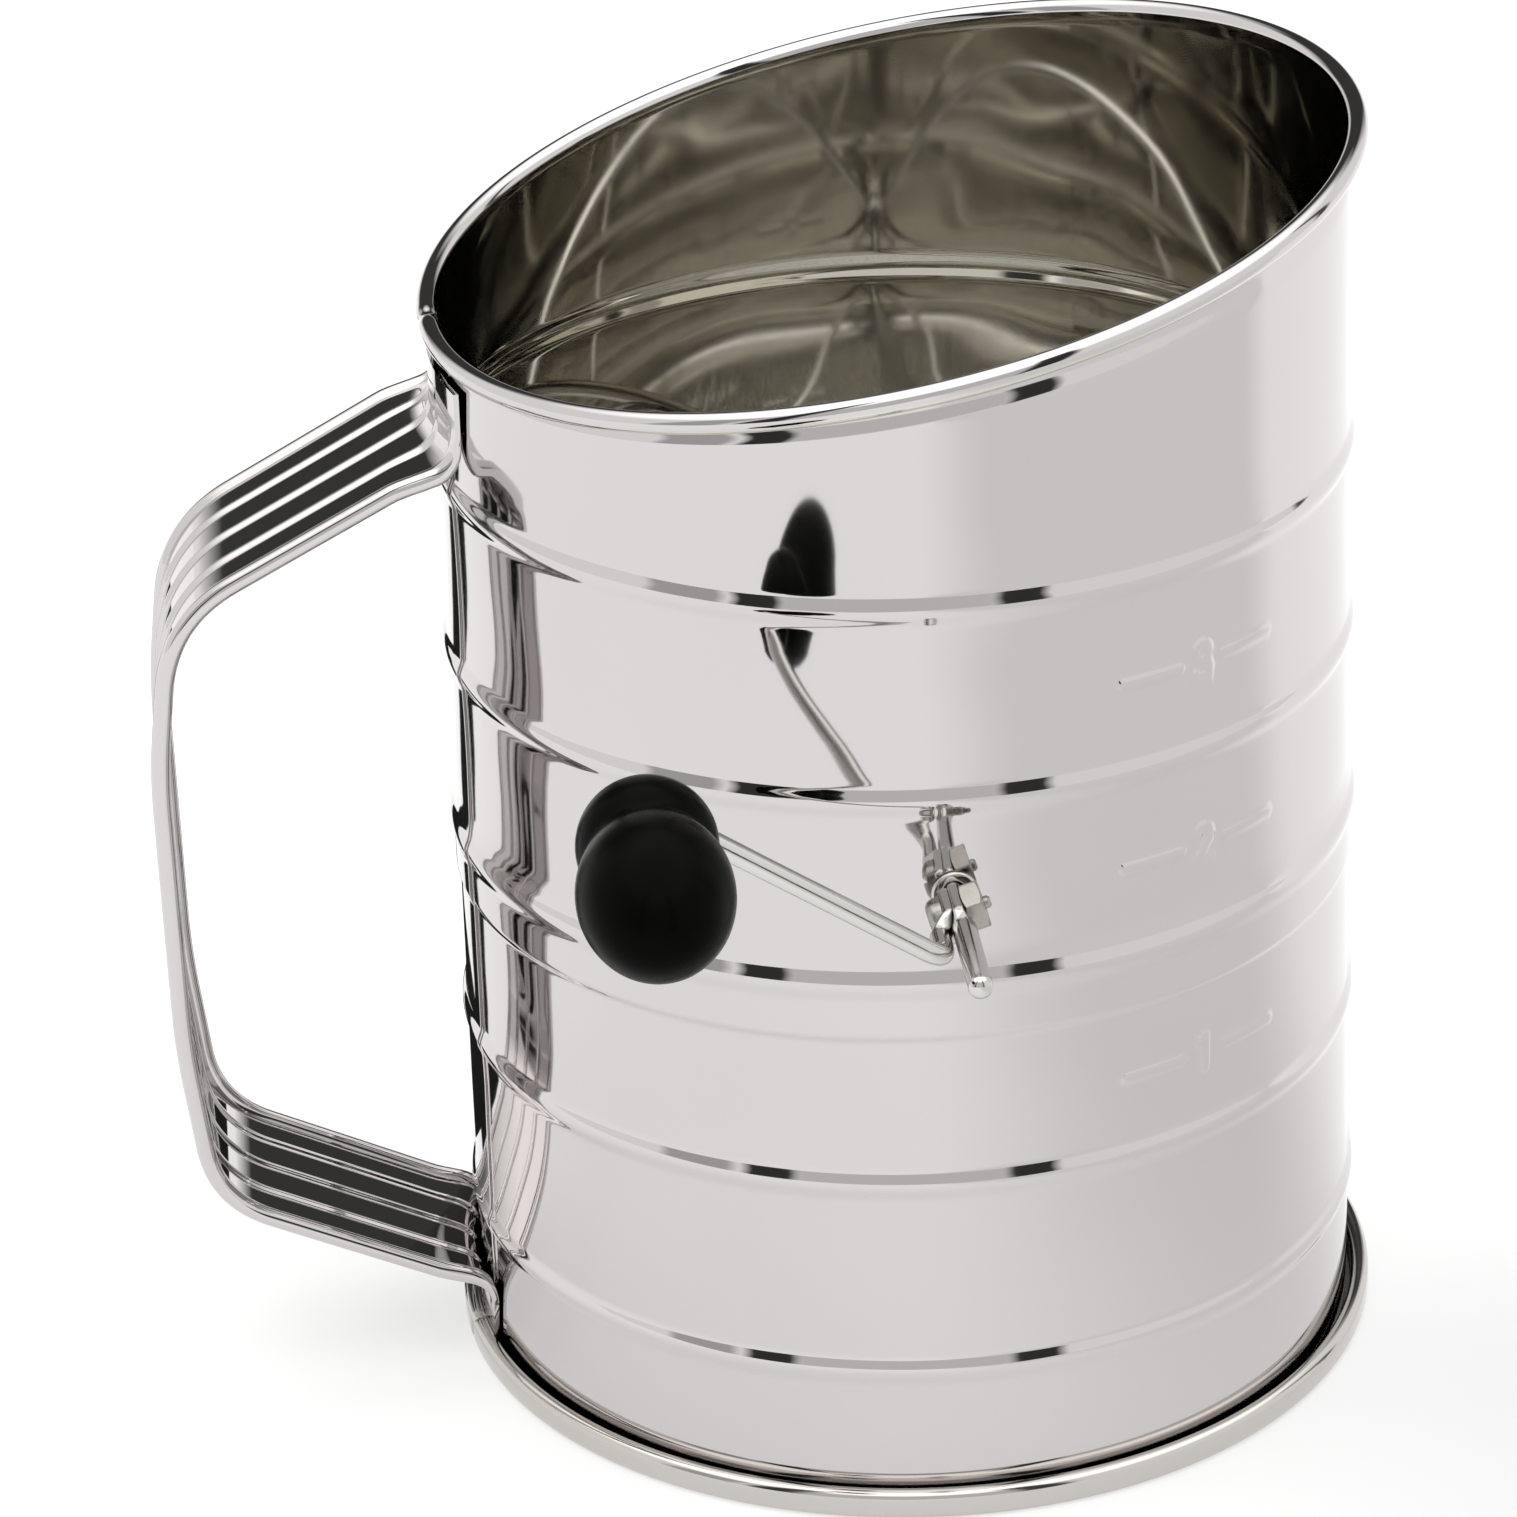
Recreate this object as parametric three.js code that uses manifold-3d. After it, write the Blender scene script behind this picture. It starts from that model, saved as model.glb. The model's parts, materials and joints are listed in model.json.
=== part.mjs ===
// Hand-crank flour sifter in polished stainless steel.
//
// A tinsmith's can with five beads and a slanted, wired mouth stands on a crimped base ring.
// A woven screen bowl is clamped in the wide seat under the middle bead. A crank shaft runs
// through the can above the screen and carries four bowed agitator wires. The crank arm is
// bolted to the flattened end of the shaft, and a two-bulb knob spins on its spindle.
//
// Millimetres, +Z up. The mouth is high toward +X, the handle is on -X and the crank on -Y.
// The origin is under the middle of the whole object's box, on the surface it stands on.

import * as THREE from 'three';
import { mergeVertices } from 'three/addons/utils/BufferGeometryUtils.js';
import Module from 'manifold-3d';

const wasm = await Module();
wasm.setup();

// ---- Driving dimensions -------------------------------------------------------------------

const gap = 0.3;                  // clearance between touching pieces
const sheet = 0.5;                // can wall thickness

const baseRadius = 55.9;          // outside of the can wall at the bottom
const topRadius = 55.1;           // outside of the can wall at the rim
const rimHeight = 148.4;          // rim centre line, where it crosses the can's axis
const rimSlope = THREE.MathUtils.degToRad(10.6);
const rimHighSide = THREE.MathUtils.degToRad(10);   // from +X toward +Y
const curlRadius = 1.3;           // outside of the rolled rim
const rimWireRadius = 0.5;

const beadHeights = [19.4, 45.0, 95.5, 119.5];
const beadRise = 0.5;
const beadHalfWidth = 1.8;
const seatBeadHeight = 71.8;      // the wide bead that holds the screen
const seatRise = 0.9;
const seatShoulder = 65.0;        // where the seat steps back to the plain wall
const seatShoulderRise = 0.5;
const shearStart = 124;           // the wall is square below this height
const curlSteps = 7;
const curlEnd = THREE.MathUtils.degToRad(-100);     // where the roll stops, past its outside

const shaftHeight = 83.7;
const shaftRadius = 1.45;
const shaftFront = 24.8;          // how far the front end stands off the wall
const shaftRear = 5.0;

const bowRadius = 49.5;           // agitator bows, at the wire's middle
const bowWireRadius = 1.0;
const bowCount = 4;
const bowPhase = THREE.MathUtils.degToRad(45);

const screenRadius = 52.6;        // outside of the screen bowl, centred on the shaft
const screenThickness = 0.6;
const screenRim = 65.7;           // underside of the screen's clamped flange

const armOffset = 15.0;           // crank arm's middle, out from the wall
const clampOffset = 4.8;          // cross screw, out from the wall
const clampTilt = THREE.MathUtils.degToRad(17);
const armRadius = 1.3;
const spindleX = -36.9;           // knob spindle where it leaves the arm
const spindleZ = 21.4;            // the same point, above the shaft

const knobStart = 1.8;            // along the spindle, from the arm's middle
const rearBulb = 10.4;            // the knob's round rear bulb
const rearBulbRadius = 8.0;
const frontBulb = 22.6;           // its egg-shaped front bulb
const frontBulbRadius = 8.8;
const frontBulbHalfLength = 12.3;
const waist = 14.7;
const knobMouthRadius = 4.6;

const strapWidth = 30;             // halfway along; it tapers from the top to the bottom
const strapTaper = 0.22;          // of the width, over the whole length
const strapThickness = 1.2;
const strapReach = 93.2;          // outside of the grip, from the can's axis
const strapHem = 2.2;             // width of the rolled edge on each side
const hemSlope = 0.6;
const ribHeight = 0.5;
const ribCount = 3;
const ribPitch = 7.0;
const ribTopHalf = 0.4;           // half widths of a rib at its crest and at its foot
const ribFootHalf = 1.0;
const footBend = 2.6;             // rounding of the strap's corners at its feet
const shoulderBend = 9.3;         // where the upper arm turns down into the grip
const gripBend = 5.4;
const heelBend = 7.6;             // where the grip turns into the lower arm

const ringOuterRadius = 58.7;     // base ring
const ringHemRadius = 56.9;       // inside of the base ring's outer hem
const ringHeight = 3.8;
const ringLipRadius = 54.5;       // inside of the lip that stands inside the can wall
const ringLipHeight = 2.4;
const ringRound = 0.6;

const roundSides = 40;            // facets around the can and its base ring
const screenSides = 36;           // facets around the screen and its rings
const smallSides = 16;            // facets around small turned pieces
const wireSides = 7;

// ---- Materials ----------------------------------------------------------------------------

const steel = new THREE.MeshStandardMaterial({ color: 0xd6d3cf, roughness: 0.08, metalness: 1 });
const wireSteel = new THREE.MeshStandardMaterial({ color: 0xc4c1bb, roughness: 0.2, metalness: 1 });
const zinc = new THREE.MeshStandardMaterial({ color: 0xa9a59c, roughness: 0.35, metalness: 1 });
const blackPlastic = new THREE.MeshStandardMaterial({ color: 0x0a0a09, roughness: 0.12, metalness: 0 });
const mesh = new THREE.MeshStandardMaterial({ color: 0xb5b3ae, roughness: 0.3, metalness: 1 });

// ---- Helpers ------------------------------------------------------------------------------

// Merges a geometry's vertices by place, drops empty triangles and turns its faces outward.
function closed(geometry) {
  const bare = geometry.clone();
  bare.deleteAttribute('normal');
  bare.deleteAttribute('uv');
  const merged = mergeVertices(bare, 1e-4);
  const place = merged.attributes.position;
  const a = new THREE.Vector3();
  const b = new THREE.Vector3();
  const c = new THREE.Vector3();
  const kept = [];
  let volume = 0;
  for (let i = 0; i < merged.index.count; i += 3) {
    const [p, q, r] = [0, 1, 2].map((k) => merged.index.getX(i + k));
    if (p === q || q === r || r === p) continue;
    kept.push([p, q, r]);
    a.fromBufferAttribute(place, p);
    b.fromBufferAttribute(place, q);
    c.fromBufferAttribute(place, r);
    volume += a.dot(b.cross(c));
  }
  const turned = volume < 0 ? kept.map(([p, q, r]) => [p, r, q]) : kept;
  merged.setIndex(turned.flat());
  return merged;
}

function toSolid(geometry) {
  const whole = closed(geometry);
  return new wasm.Manifold(new wasm.Mesh({
    numProp: 3,
    vertProperties: new Float32Array(whole.attributes.position.array),
    triVerts: new Uint32Array(whole.index.array),
  }));
}

function toGeometry(solid) {
  const cut = solid.getMesh();
  const geometry = new THREE.BufferGeometry();
  geometry.setAttribute('position', new THREE.BufferAttribute(cut.vertProperties.slice(), 3));
  geometry.setIndex(new THREE.BufferAttribute(cut.triVerts.slice(), 1));
  return geometry;
}

function subtract(geometry, ...tools) {
  return toGeometry(tools.reduce((solid, tool) => solid.subtract(toSolid(tool)), toSolid(geometry)));
}

function join(geometry, ...others) {
  return toGeometry(others.reduce((solid, other) => solid.add(toSolid(other)), toSolid(geometry)));
}

// A turned solid about Z, from a closed outline of [radius, height] points.
function turned(outline, sides) {
  const points = [...outline, outline[0]].map(([r, z]) => new THREE.Vector2(r, z));
  return new THREE.LatheGeometry(points, sides).rotateX(Math.PI / 2);
}

// A turned solid about the shaft, its heights measured outward along -Y.
function turnedOnShaft(outline, sides) {
  return turned(outline, sides).rotateX(Math.PI / 2);
}

function rod(radius, length, sides) {
  return new THREE.CylinderGeometry(radius, radius, length, sides);
}

function circle(radius, sides) {
  const points = [];
  for (let i = 0; i < sides; i += 1) {
    const turn = (2 * Math.PI * i) / sides;
    points.push(new THREE.Vector2(radius * Math.cos(turn), radius * Math.sin(turn)));
  }
  return new THREE.Shape(points);
}

// A path through corners, with each inner corner rounded off at its own distance.
function bentPath(corners, roundings) {
  const path = new THREE.CurvePath();
  let start = corners[0];
  for (let i = 1; i < corners.length - 1; i += 1) {
    const corner = corners[i];
    const rounding = roundings[i - 1];
    const before = corner.clone().add(start.clone().sub(corner).setLength(rounding));
    const after = corner.clone().add(corners[i + 1].clone().sub(corner).setLength(rounding));
    path.add(new THREE.LineCurve3(start, before));
    path.add(new THREE.QuadraticBezierCurve3(before, corner, after));
    start = after;
  }
  path.add(new THREE.LineCurve3(start, corners[corners.length - 1]));
  return path;
}

function wire(path, radius, steps, sides = wireSides) {
  return new THREE.ExtrudeGeometry(circle(radius, sides), { steps, extrudePath: path });
}

function wallRadius(height) {
  return baseRadius + (topRadius - baseRadius) * (height / rimHeight);
}

// Tilts everything above shearStart to the slope of the mouth.
function slantTop(geometry) {
  const place = geometry.attributes.position;
  for (let i = 0; i < place.count; i += 1) {
    if (place.getZ(i) < shearStart) continue;
    const along = place.getX(i) * Math.cos(rimHighSide) + place.getY(i) * Math.sin(rimHighSide);
    place.setZ(i, place.getZ(i) + along * Math.tan(rimSlope));
  }
  return geometry;
}

// ---- Can ----------------------------------------------------------------------------------

const curlCentre = topRadius - sheet + curlRadius;
const ringFloor = 0.5;
const wallStart = ringFloor + gap;

// Outward rises of the wall, bottom to top, as [height, rise].
function wallRises() {
  const rises = [[wallStart, 0]];
  const bead = (height) => [
    [height - beadHalfWidth, 0],
    [height - beadHalfWidth / 2, beadRise],
    [height + beadHalfWidth / 2, beadRise],
    [height + beadHalfWidth, 0],
  ];
  const seat = [
    [seatShoulder - beadHalfWidth / 2, 0],
    [seatShoulder, seatShoulderRise],
    [seatBeadHeight - beadHalfWidth, seatShoulderRise],
    [seatBeadHeight - beadHalfWidth / 2, seatRise],
    [seatBeadHeight + beadHalfWidth / 2, seatRise],
    [seatBeadHeight + 2 * beadHalfWidth, 0],
  ];
  rises.push(...bead(beadHeights[0]), ...bead(beadHeights[1]), ...seat);
  rises.push(...bead(beadHeights[2]), ...bead(beadHeights[3]));
  return rises;
}

function canBody() {
  const outside = wallRises().map(([z, rise]) => [wallRadius(z) + rise, z]);
  const inside = outside.map(([r, z]) => [r - sheet, z]).reverse();
  const curlInside = [];
  const curlOutside = [];
  for (let i = 0; i <= curlSteps; i += 1) {
    const turn = Math.PI + (curlEnd - Math.PI) * (i / curlSteps);
    const point = (radius) => [
      curlCentre + radius * Math.cos(turn),
      rimHeight + radius * Math.sin(turn),
    ];
    curlInside.push(point(curlRadius - sheet));
    curlOutside.push(point(curlRadius));
  }
  const outline = [...outside, ...curlInside, ...curlOutside.reverse(), ...inside];
  const holeRadius = bushingBarrel + gap;
  const hole = rod(holeRadius, 3 * baseRadius, smallSides).translate(0, 0, shaftHeight);
  return subtract(slantTop(turned(outline, roundSides)), hole);
}

function rimWire() {
  const outline = [];
  for (let i = 0; i < wireSides; i += 1) {
    const turn = (2 * Math.PI * i) / wireSides;
    const r = curlCentre + rimWireRadius * Math.cos(turn);
    outline.push([r, rimHeight + rimWireRadius * Math.sin(turn)]);
  }
  return slantTop(turned(outline, roundSides));
}

// A channel crimped round the can's lower edge, with a rounded outer hem.
function baseRing() {
  return turned([
    [ringLipRadius, 0],
    [ringOuterRadius - ringRound, 0],
    [ringOuterRadius, ringRound],
    [ringOuterRadius, ringHeight - ringRound],
    [ringOuterRadius - ringRound, ringHeight],
    [ringHemRadius + ringRound, ringHeight],
    [ringHemRadius, ringHeight - ringRound],
    [ringHemRadius, ringFloor],
    [ringLipRadius + sheet, ringFloor],
    [ringLipRadius + sheet, ringLipHeight],
    [ringLipRadius, ringLipHeight],
  ], roundSides);
}

// ---- Screen -------------------------------------------------------------------------------

const flangeOuter = 53.6;         // the screen's flat rim, between the two clamp rings
const flangeThickness = 0.6;
const screenSteps = 7;
const clampInner = 50.2;
const clampOuter = 54.9;
const clampThickness = 0.9;
const clampWallInner = 54.1;      // the upper ring's upright wall
const clampWallHeight = 4.4;

function screenBowl() {
  const arc = (radius, top) => {
    const end = Math.acos((shaftHeight - top) / radius);
    const points = [];
    for (let i = 0; i <= screenSteps; i += 1) {
      const turn = (end * i) / screenSteps;
      points.push([radius * Math.sin(turn), shaftHeight - radius * Math.cos(turn)]);
    }
    return points;
  };
  const outer = arc(screenRadius, screenRim);
  const inner = arc(screenRadius - screenThickness, screenRim + flangeThickness).reverse();
  return turned([
    ...outer,
    [flangeOuter, screenRim],
    [flangeOuter, screenRim + flangeThickness],
    ...inner,
  ], screenSides);
}

function screenRingLower() {
  const top = screenRim - gap;
  const bottom = top - clampThickness;
  const outer = clampOuter - gap;
  return turned([[clampInner, bottom], [outer, bottom], [outer, top], [clampInner, top]], screenSides);
}

// An angle ring: its foot clamps the flange and its wall snaps into the seat bead.
function screenRingUpper() {
  const bottom = screenRim + flangeThickness + gap;
  return turned([
    [clampInner, bottom],
    [clampOuter, bottom],
    [clampOuter, bottom + clampWallHeight],
    [clampWallInner, bottom + clampWallHeight],
    [clampWallInner, bottom + clampThickness],
    [clampInner, bottom + clampThickness],
  ], screenSides);
}

// ---- Bearings -----------------------------------------------------------------------------

const bushingBore = shaftRadius + gap;
const bushingBarrel = 2.2;
const outerFlange = 2.8;
const outerFlangeThickness = 0.4;
const innerFlange = 4.2;
const wallAtShaft = wallRadius(shaftHeight);
const innerFlangeFace = wallAtShaft - sheet - 1.5;
const innerFlangeBack = wallAtShaft - sheet - 0.6;

// An eyelet through the wall: a small outer flange, a barrel and a wide inner flange.
function bushing() {
  const wallFace = wallAtShaft + gap;
  return turnedOnShaft([
    [bushingBore, innerFlangeFace],
    [innerFlange, innerFlangeFace],
    [innerFlange, innerFlangeBack],
    [bushingBarrel, innerFlangeBack],
    [bushingBarrel, wallFace],
    [outerFlange, wallFace],
    [outerFlange, wallFace + outerFlangeThickness],
    [bushingBore, wallFace + outerFlangeThickness],
  ], smallSides);
}

const washerRadius = 4.4;
const washerThickness = 0.6;

function thrustWasher() {
  const face = innerFlangeFace - gap;
  return turnedOnShaft([
    [bushingBore, face - washerThickness],
    [washerRadius, face - washerThickness],
    [washerRadius, face],
    [bushingBore, face],
  ], smallSides);
}

// ---- Crank and agitator -------------------------------------------------------------------

const paddleLength = 6.8;
const paddleWidth = 4.6;
const shaftPaddle = 1.2;          // thickness of the shaft's flattened length
const armPaddle = 1.2;
const screwRadius = 0.75;
const screwHole = screwRadius + gap;
const tailLap = 0.45;             // how far the arm's round wire runs on to its flattened end
const armTail = armOffset - clampOffset - paddleLength / 2 + tailLap;
const armPaddleMiddle = -(shaftPaddle / 2 + gap + armPaddle / 2);
const tailMiddle = -(shaftRadius + gap + armRadius);
const beyond = 30;                // longer than anything that a bore passes through

// Turns a piece built square to the clamp so that its screw axis tilts with the clamp.
function tilted(geometry) {
  return geometry.rotateY(-clampTilt);
}

function paddle(thickness, middle) {
  const centreY = -(wallAtShaft + clampOffset);
  const block = new THREE.BoxGeometry(thickness, paddleLength, paddleWidth);
  return tilted(block.translate(middle, centreY, 0));
}

function screwBore() {
  const bore = rod(screwHole, beyond, smallSides).rotateZ(Math.PI / 2);
  return tilted(bore.translate(0, -(wallAtShaft + clampOffset), 0));
}

// The metal that hammering moves away from one side of the flattened length.
function flattened(side) {
  return paddle(shaftRadius, (side * (shaftPaddle + shaftRadius)) / 2);
}

function agitatorShaft() {
  const front = wallAtShaft + shaftFront;
  const rear = wallAtShaft + shaftRear;
  const tipRound = shaftRadius / 2;
  const body = turnedOnShaft([
    [0, -rear],
    [shaftRadius, -rear],
    [shaftRadius, front - tipRound],
    [shaftRadius - tipRound, front],
    [0, front],
  ], smallSides);
  const thinned = subtract(body, flattened(-1), flattened(1));
  return subtract(join(thinned, paddle(shaftPaddle, 0)), screwBore());
}

const hubRadius = 4.5;
const hubHalfLength = 1.9;
const bowEndGap = 2.7;            // from the shaft's middle to where each bow starts
const bowSteps = 22;

// A turned collar at one end of the agitator, drilled for the ends of the bows.
function hub() {
  const collar = turnedOnShaft([
    [bushingBore, bowRadius - hubHalfLength],
    [hubRadius, bowRadius - hubHalfLength],
    [hubRadius, bowRadius + hubHalfLength],
    [bushingBore, bowRadius + hubHalfLength],
  ], smallSides);
  const drills = [];
  for (let i = 0; i < bowCount / 2; i += 1) {
    const drill = rod(bowWireRadius + gap, beyond, smallSides).rotateX(Math.PI / 2);
    drills.push(drill.translate(0, -bowRadius, 0).rotateY(bowPhase + (Math.PI * i) / 2));
  }
  return subtract(collar, ...drills);
}

// One bow: an arc from hub to hub about the middle of the shaft.
function agitatorBow() {
  const start = bowEndGap / bowRadius;
  const arc = new THREE.CurvePath();
  const points = [];
  for (let i = 0; i <= bowSteps; i += 1) {
    const turn = start + ((Math.PI - 2 * start) * i) / bowSteps;
    points.push(new THREE.Vector3(0, -bowRadius * Math.cos(turn), bowRadius * Math.sin(turn)));
  }
  for (let i = 0; i < bowSteps; i += 1) arc.add(new THREE.LineCurve3(points[i], points[i + 1]));
  return wire(arc, bowWireRadius, bowSteps);
}

const armBend = 2.8;
const armSteps = 36;
const armSides = 8;

function crankArm() {
  const armY = -(wallAtShaft + armOffset);
  const tailX = tailMiddle * Math.cos(clampTilt);
  const tailZ = tailMiddle * Math.sin(clampTilt);
  const spindle = new THREE.Vector3(spindleX, armY, spindleZ);
  const spindleEnd = new THREE.Vector3(spindleX, armY - frontBulb, spindleZ);
  const path = bentPath([
    spindleEnd,
    spindle,
    new THREE.Vector3(tailX, armY, tailZ),
    new THREE.Vector3(tailX, armY + armTail, tailZ),
  ], [armBend, armBend]);
  const bent = wire(path, armRadius, armSteps, armSides);
  return subtract(join(bent, paddle(armPaddle, armPaddleMiddle)), screwBore());
}

const nutThickness = 2.3;
const nutAcrossFlats = 5.5;
const headRadius = 2.45;
const headThickness = 1.8;
const screwSpare = 0.8;           // thread that shows past the nut

function onClamp(geometry, middle) {
  const laid = geometry.rotateZ(Math.PI / 2);
  return tilted(laid.translate(middle, -(wallAtShaft + clampOffset), 0));
}

function crankScrew() {
  const headFace = armPaddleMiddle - armPaddle / 2 - gap;
  const tip = shaftPaddle / 2 + gap + nutThickness + screwSpare;
  const outline = [
    [0, -tip],
    [screwRadius, -tip],
    [screwRadius, -headFace],
    [headRadius, -headFace],
    [headRadius, -headFace + headThickness * 0.5],
    [headRadius * 0.6, -headFace + headThickness],
    [0, -headFace + headThickness],
  ];
  const points = outline.map(([r, along]) => new THREE.Vector2(r, along));
  return onClamp(new THREE.LatheGeometry(points, smallSides), 0);
}

function crankNut() {
  const corner = nutAcrossFlats / Math.sqrt(3);
  const blank = rod(corner, nutThickness, 6);
  const bore = rod(screwHole, beyond, smallSides);
  const middle = shaftPaddle / 2 + gap + nutThickness / 2;
  return onClamp(subtract(blank, bore), middle);
}

const capRadius = 3.4;
const capCrown = 0.8;

// A push-on cap that stops the shaft at the back of the can.
function rearCap() {
  const mouth = wallAtShaft + gap + outerFlangeThickness + gap;
  const end = wallAtShaft + shaftRear + gap;
  return turnedOnShaft([
    [bushingBore, -mouth],
    [capRadius, -mouth],
    [capRadius, -end],
    [capRadius - capCrown, -end - capCrown],
    [0, -end - capCrown],
    [0, -end],
    [bushingBore, -end],
  ], smallSides);
}

// ---- Knob ---------------------------------------------------------------------------------

const knobSides = 20;
const bulbSteps = 9;

// Two bulbs on one axis with a waist between them, bored for the spindle.
function knob() {
  const bore = armRadius + gap;
  const outline = [[bore, knobStart], [knobMouthRadius, knobStart]];
  const bulb = (centre, radius, halfLength, from, to) => {
    const first = Math.acos(THREE.MathUtils.clamp((centre - from) / halfLength, -1, 1));
    const last = Math.acos(THREE.MathUtils.clamp((centre - to) / halfLength, -1, 1));
    for (let i = 0; i <= bulbSteps; i += 1) {
      const turn = first + ((last - first) * i) / bulbSteps;
      outline.push([radius * Math.sin(turn), centre - halfLength * Math.cos(turn)]);
    }
  };
  const mouthRise = Math.sqrt(rearBulbRadius ** 2 - knobMouthRadius ** 2);
  const frontEnd = frontBulb + frontBulbHalfLength;
  bulb(rearBulb, rearBulbRadius, rearBulbRadius, rearBulb - mouthRise, waist - gap);
  bulb(frontBulb, frontBulbRadius, frontBulbHalfLength, waist + gap, frontEnd);
  outline.push([0, frontBulb + gap], [bore, frontBulb + gap]);
  return turnedOnShaft(outline, knobSides);
}

// ---- Handle -------------------------------------------------------------------------------

const footClearance = gap + strapThickness / 2;
const gripX = -(strapReach - ribHeight - strapThickness / 2);
const upperFootX = -(wallRadius(128) + footClearance);
const lowerFootX = -(wallRadius(8) + footClearance);
const strapSteps = 40;

// The strap's middle line in the X-Z plane, from the upper foot round to the lower foot.
function strapPath() {
  const corner = (x, z) => new THREE.Vector3(x, 0, z);
  return bentPath([
    corner(upperFootX, 133.6),
    corner(upperFootX, 124.8),
    corner(gripX + 2.6, 106.8),
    corner(gripX, 86.3),
    corner(gripX + 0.2, 48.2),
    corner(gripX + 2.7, 26.2),
    corner(lowerFootX, 11.1),
    corner(lowerFootX, 4.4),
  ], [footBend, shoulderBend, gripBend, gripBend, heelBend, footBend]);
}

// The strap's section: flat sheet with ribs standing outward and thicker edges.
function strapSection() {
  const half = strapWidth / 2;
  const skin = strapThickness / 2;
  const crest = skin + ribHeight;
  const flat = half - strapHem - hemSlope;
  const outer = [[-half, crest], [-half + strapHem, crest], [-flat, skin]];
  for (let i = 0; i < ribCount; i += 1) {
    const middle = ribPitch * (i - (ribCount - 1) / 2);
    outer.push([middle - ribFootHalf, skin], [middle - ribTopHalf, crest]);
    outer.push([middle + ribTopHalf, crest], [middle + ribFootHalf, skin]);
  }
  outer.push([flat, skin], [half - strapHem, crest], [half, crest]);
  const inner = [[half, -skin], [-half, -skin]];
  return [...outer, ...inner];
}

// Sweeps the section along the path. The path is flat, so its sideways direction is always Y.
function handleStrap() {
  const path = strapPath();
  const steps = strapSteps;
  const section = strapSection();
  const places = path.getSpacedPoints(steps);
  const vertices = [];
  places.forEach((point, i) => {
    const before = places[Math.max(i - 1, 0)];
    const after = places[Math.min(i + 1, steps)];
    const along = after.clone().sub(before).normalize();
    const outward = new THREE.Vector3(along.z, 0, -along.x);
    const slim = 1 + strapTaper * (0.5 - i / steps);
    section.forEach(([across, rise]) => {
      const spot = point.clone().addScaledVector(outward, rise);
      vertices.push(spot.x, across * slim, spot.z);
    });
  });
  const count = section.length;
  const faces = [];
  for (let i = 0; i < steps; i += 1) {
    for (let k = 0; k < count; k += 1) {
      const next = (k + 1) % count;
      const [a, b] = [i * count + k, i * count + next];
      const [c, d] = [a + count, b + count];
      faces.push(a, b, d, a, d, c);
    }
  }
  const outline = section.map(([across, rise]) => new THREE.Vector2(across, rise));
  THREE.ShapeUtils.triangulateShape(outline, []).forEach(([a, b, c]) => {
    const last = steps * count;
    faces.push(a, b, c, last + a, last + c, last + b);
  });
  const geometry = new THREE.BufferGeometry();
  geometry.setAttribute('position', new THREE.Float32BufferAttribute(vertices, 3));
  geometry.setIndex(faces);
  return geometry;
}

// ---- Assembly -----------------------------------------------------------------------------

function piece(parent, name, geometry, material) {
  const made = new THREE.Mesh(closed(geometry), material);
  made.name = name;
  parent.add(made);
  return made;
}

const sifter = new THREE.Group();

// The can's axis stands off the origin, which is under the middle of the whole box.
const knobFront = wallAtShaft + armOffset + frontBulb + frontBulbHalfLength;
const capRear = wallAtShaft + shaftRear + gap + capCrown;
const canAxis = new THREE.Group();
canAxis.position.set((strapReach - ringOuterRadius) / 2, (knobFront - capRear) / 2, 0);
sifter.add(canAxis);

piece(canAxis, 'can_body', canBody(), steel);
piece(canAxis, 'rim_wire', rimWire(), wireSteel);
piece(canAxis, 'base_ring', baseRing(), steel);
piece(canAxis, 'handle_strap', handleStrap(), steel);
piece(canAxis, 'screen_mesh', screenBowl(), mesh);
piece(canAxis, 'screen_ring_upper', screenRingUpper(), steel);
piece(canAxis, 'screen_ring_lower', screenRingLower(), steel);

// Everything on the crank axis is built about it, and the group lifts it to its height.
const crankAxis = new THREE.Group();
crankAxis.position.z = shaftHeight;
canAxis.add(crankAxis);

['front', 'rear'].forEach((end, i) => {
  const turn = Math.PI * i;
  piece(crankAxis, `${end}_bushing`, bushing(), steel).rotation.z = turn;
  piece(crankAxis, `${end}_thrust_washer`, thrustWasher(), zinc).rotation.z = turn;
  piece(crankAxis, `${end}_hub`, hub(), zinc).rotation.z = turn;
});
for (let i = 0; i < bowCount; i += 1) {
  const bow = piece(crankAxis, `agitator_wire_${i + 1}`, agitatorBow(), wireSteel);
  bow.rotation.y = bowPhase + (2 * Math.PI * i) / bowCount;
}
piece(crankAxis, 'agitator_shaft', agitatorShaft(), wireSteel);
piece(crankAxis, 'crank_arm', crankArm(), wireSteel);
piece(crankAxis, 'crank_screw', crankScrew(), zinc);
piece(crankAxis, 'crank_nut', crankNut(), zinc);
piece(crankAxis, 'rear_cap', rearCap(), zinc);
const knobMesh = piece(crankAxis, 'knob', knob(), blackPlastic);
knobMesh.position.set(spindleX, -(wallAtShaft + armOffset), spindleZ);

export default sifter;
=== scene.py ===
# A hand-crank flour sifter in polished stainless steel, in a white studio.
# Lengths in the shape functions are millimetres from the can's axis and the surface it stands on;
# add_mesh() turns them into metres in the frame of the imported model.

import json
import math

import bmesh
import bpy
import numpy as np
from mathutils import Matrix, Vector


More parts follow.
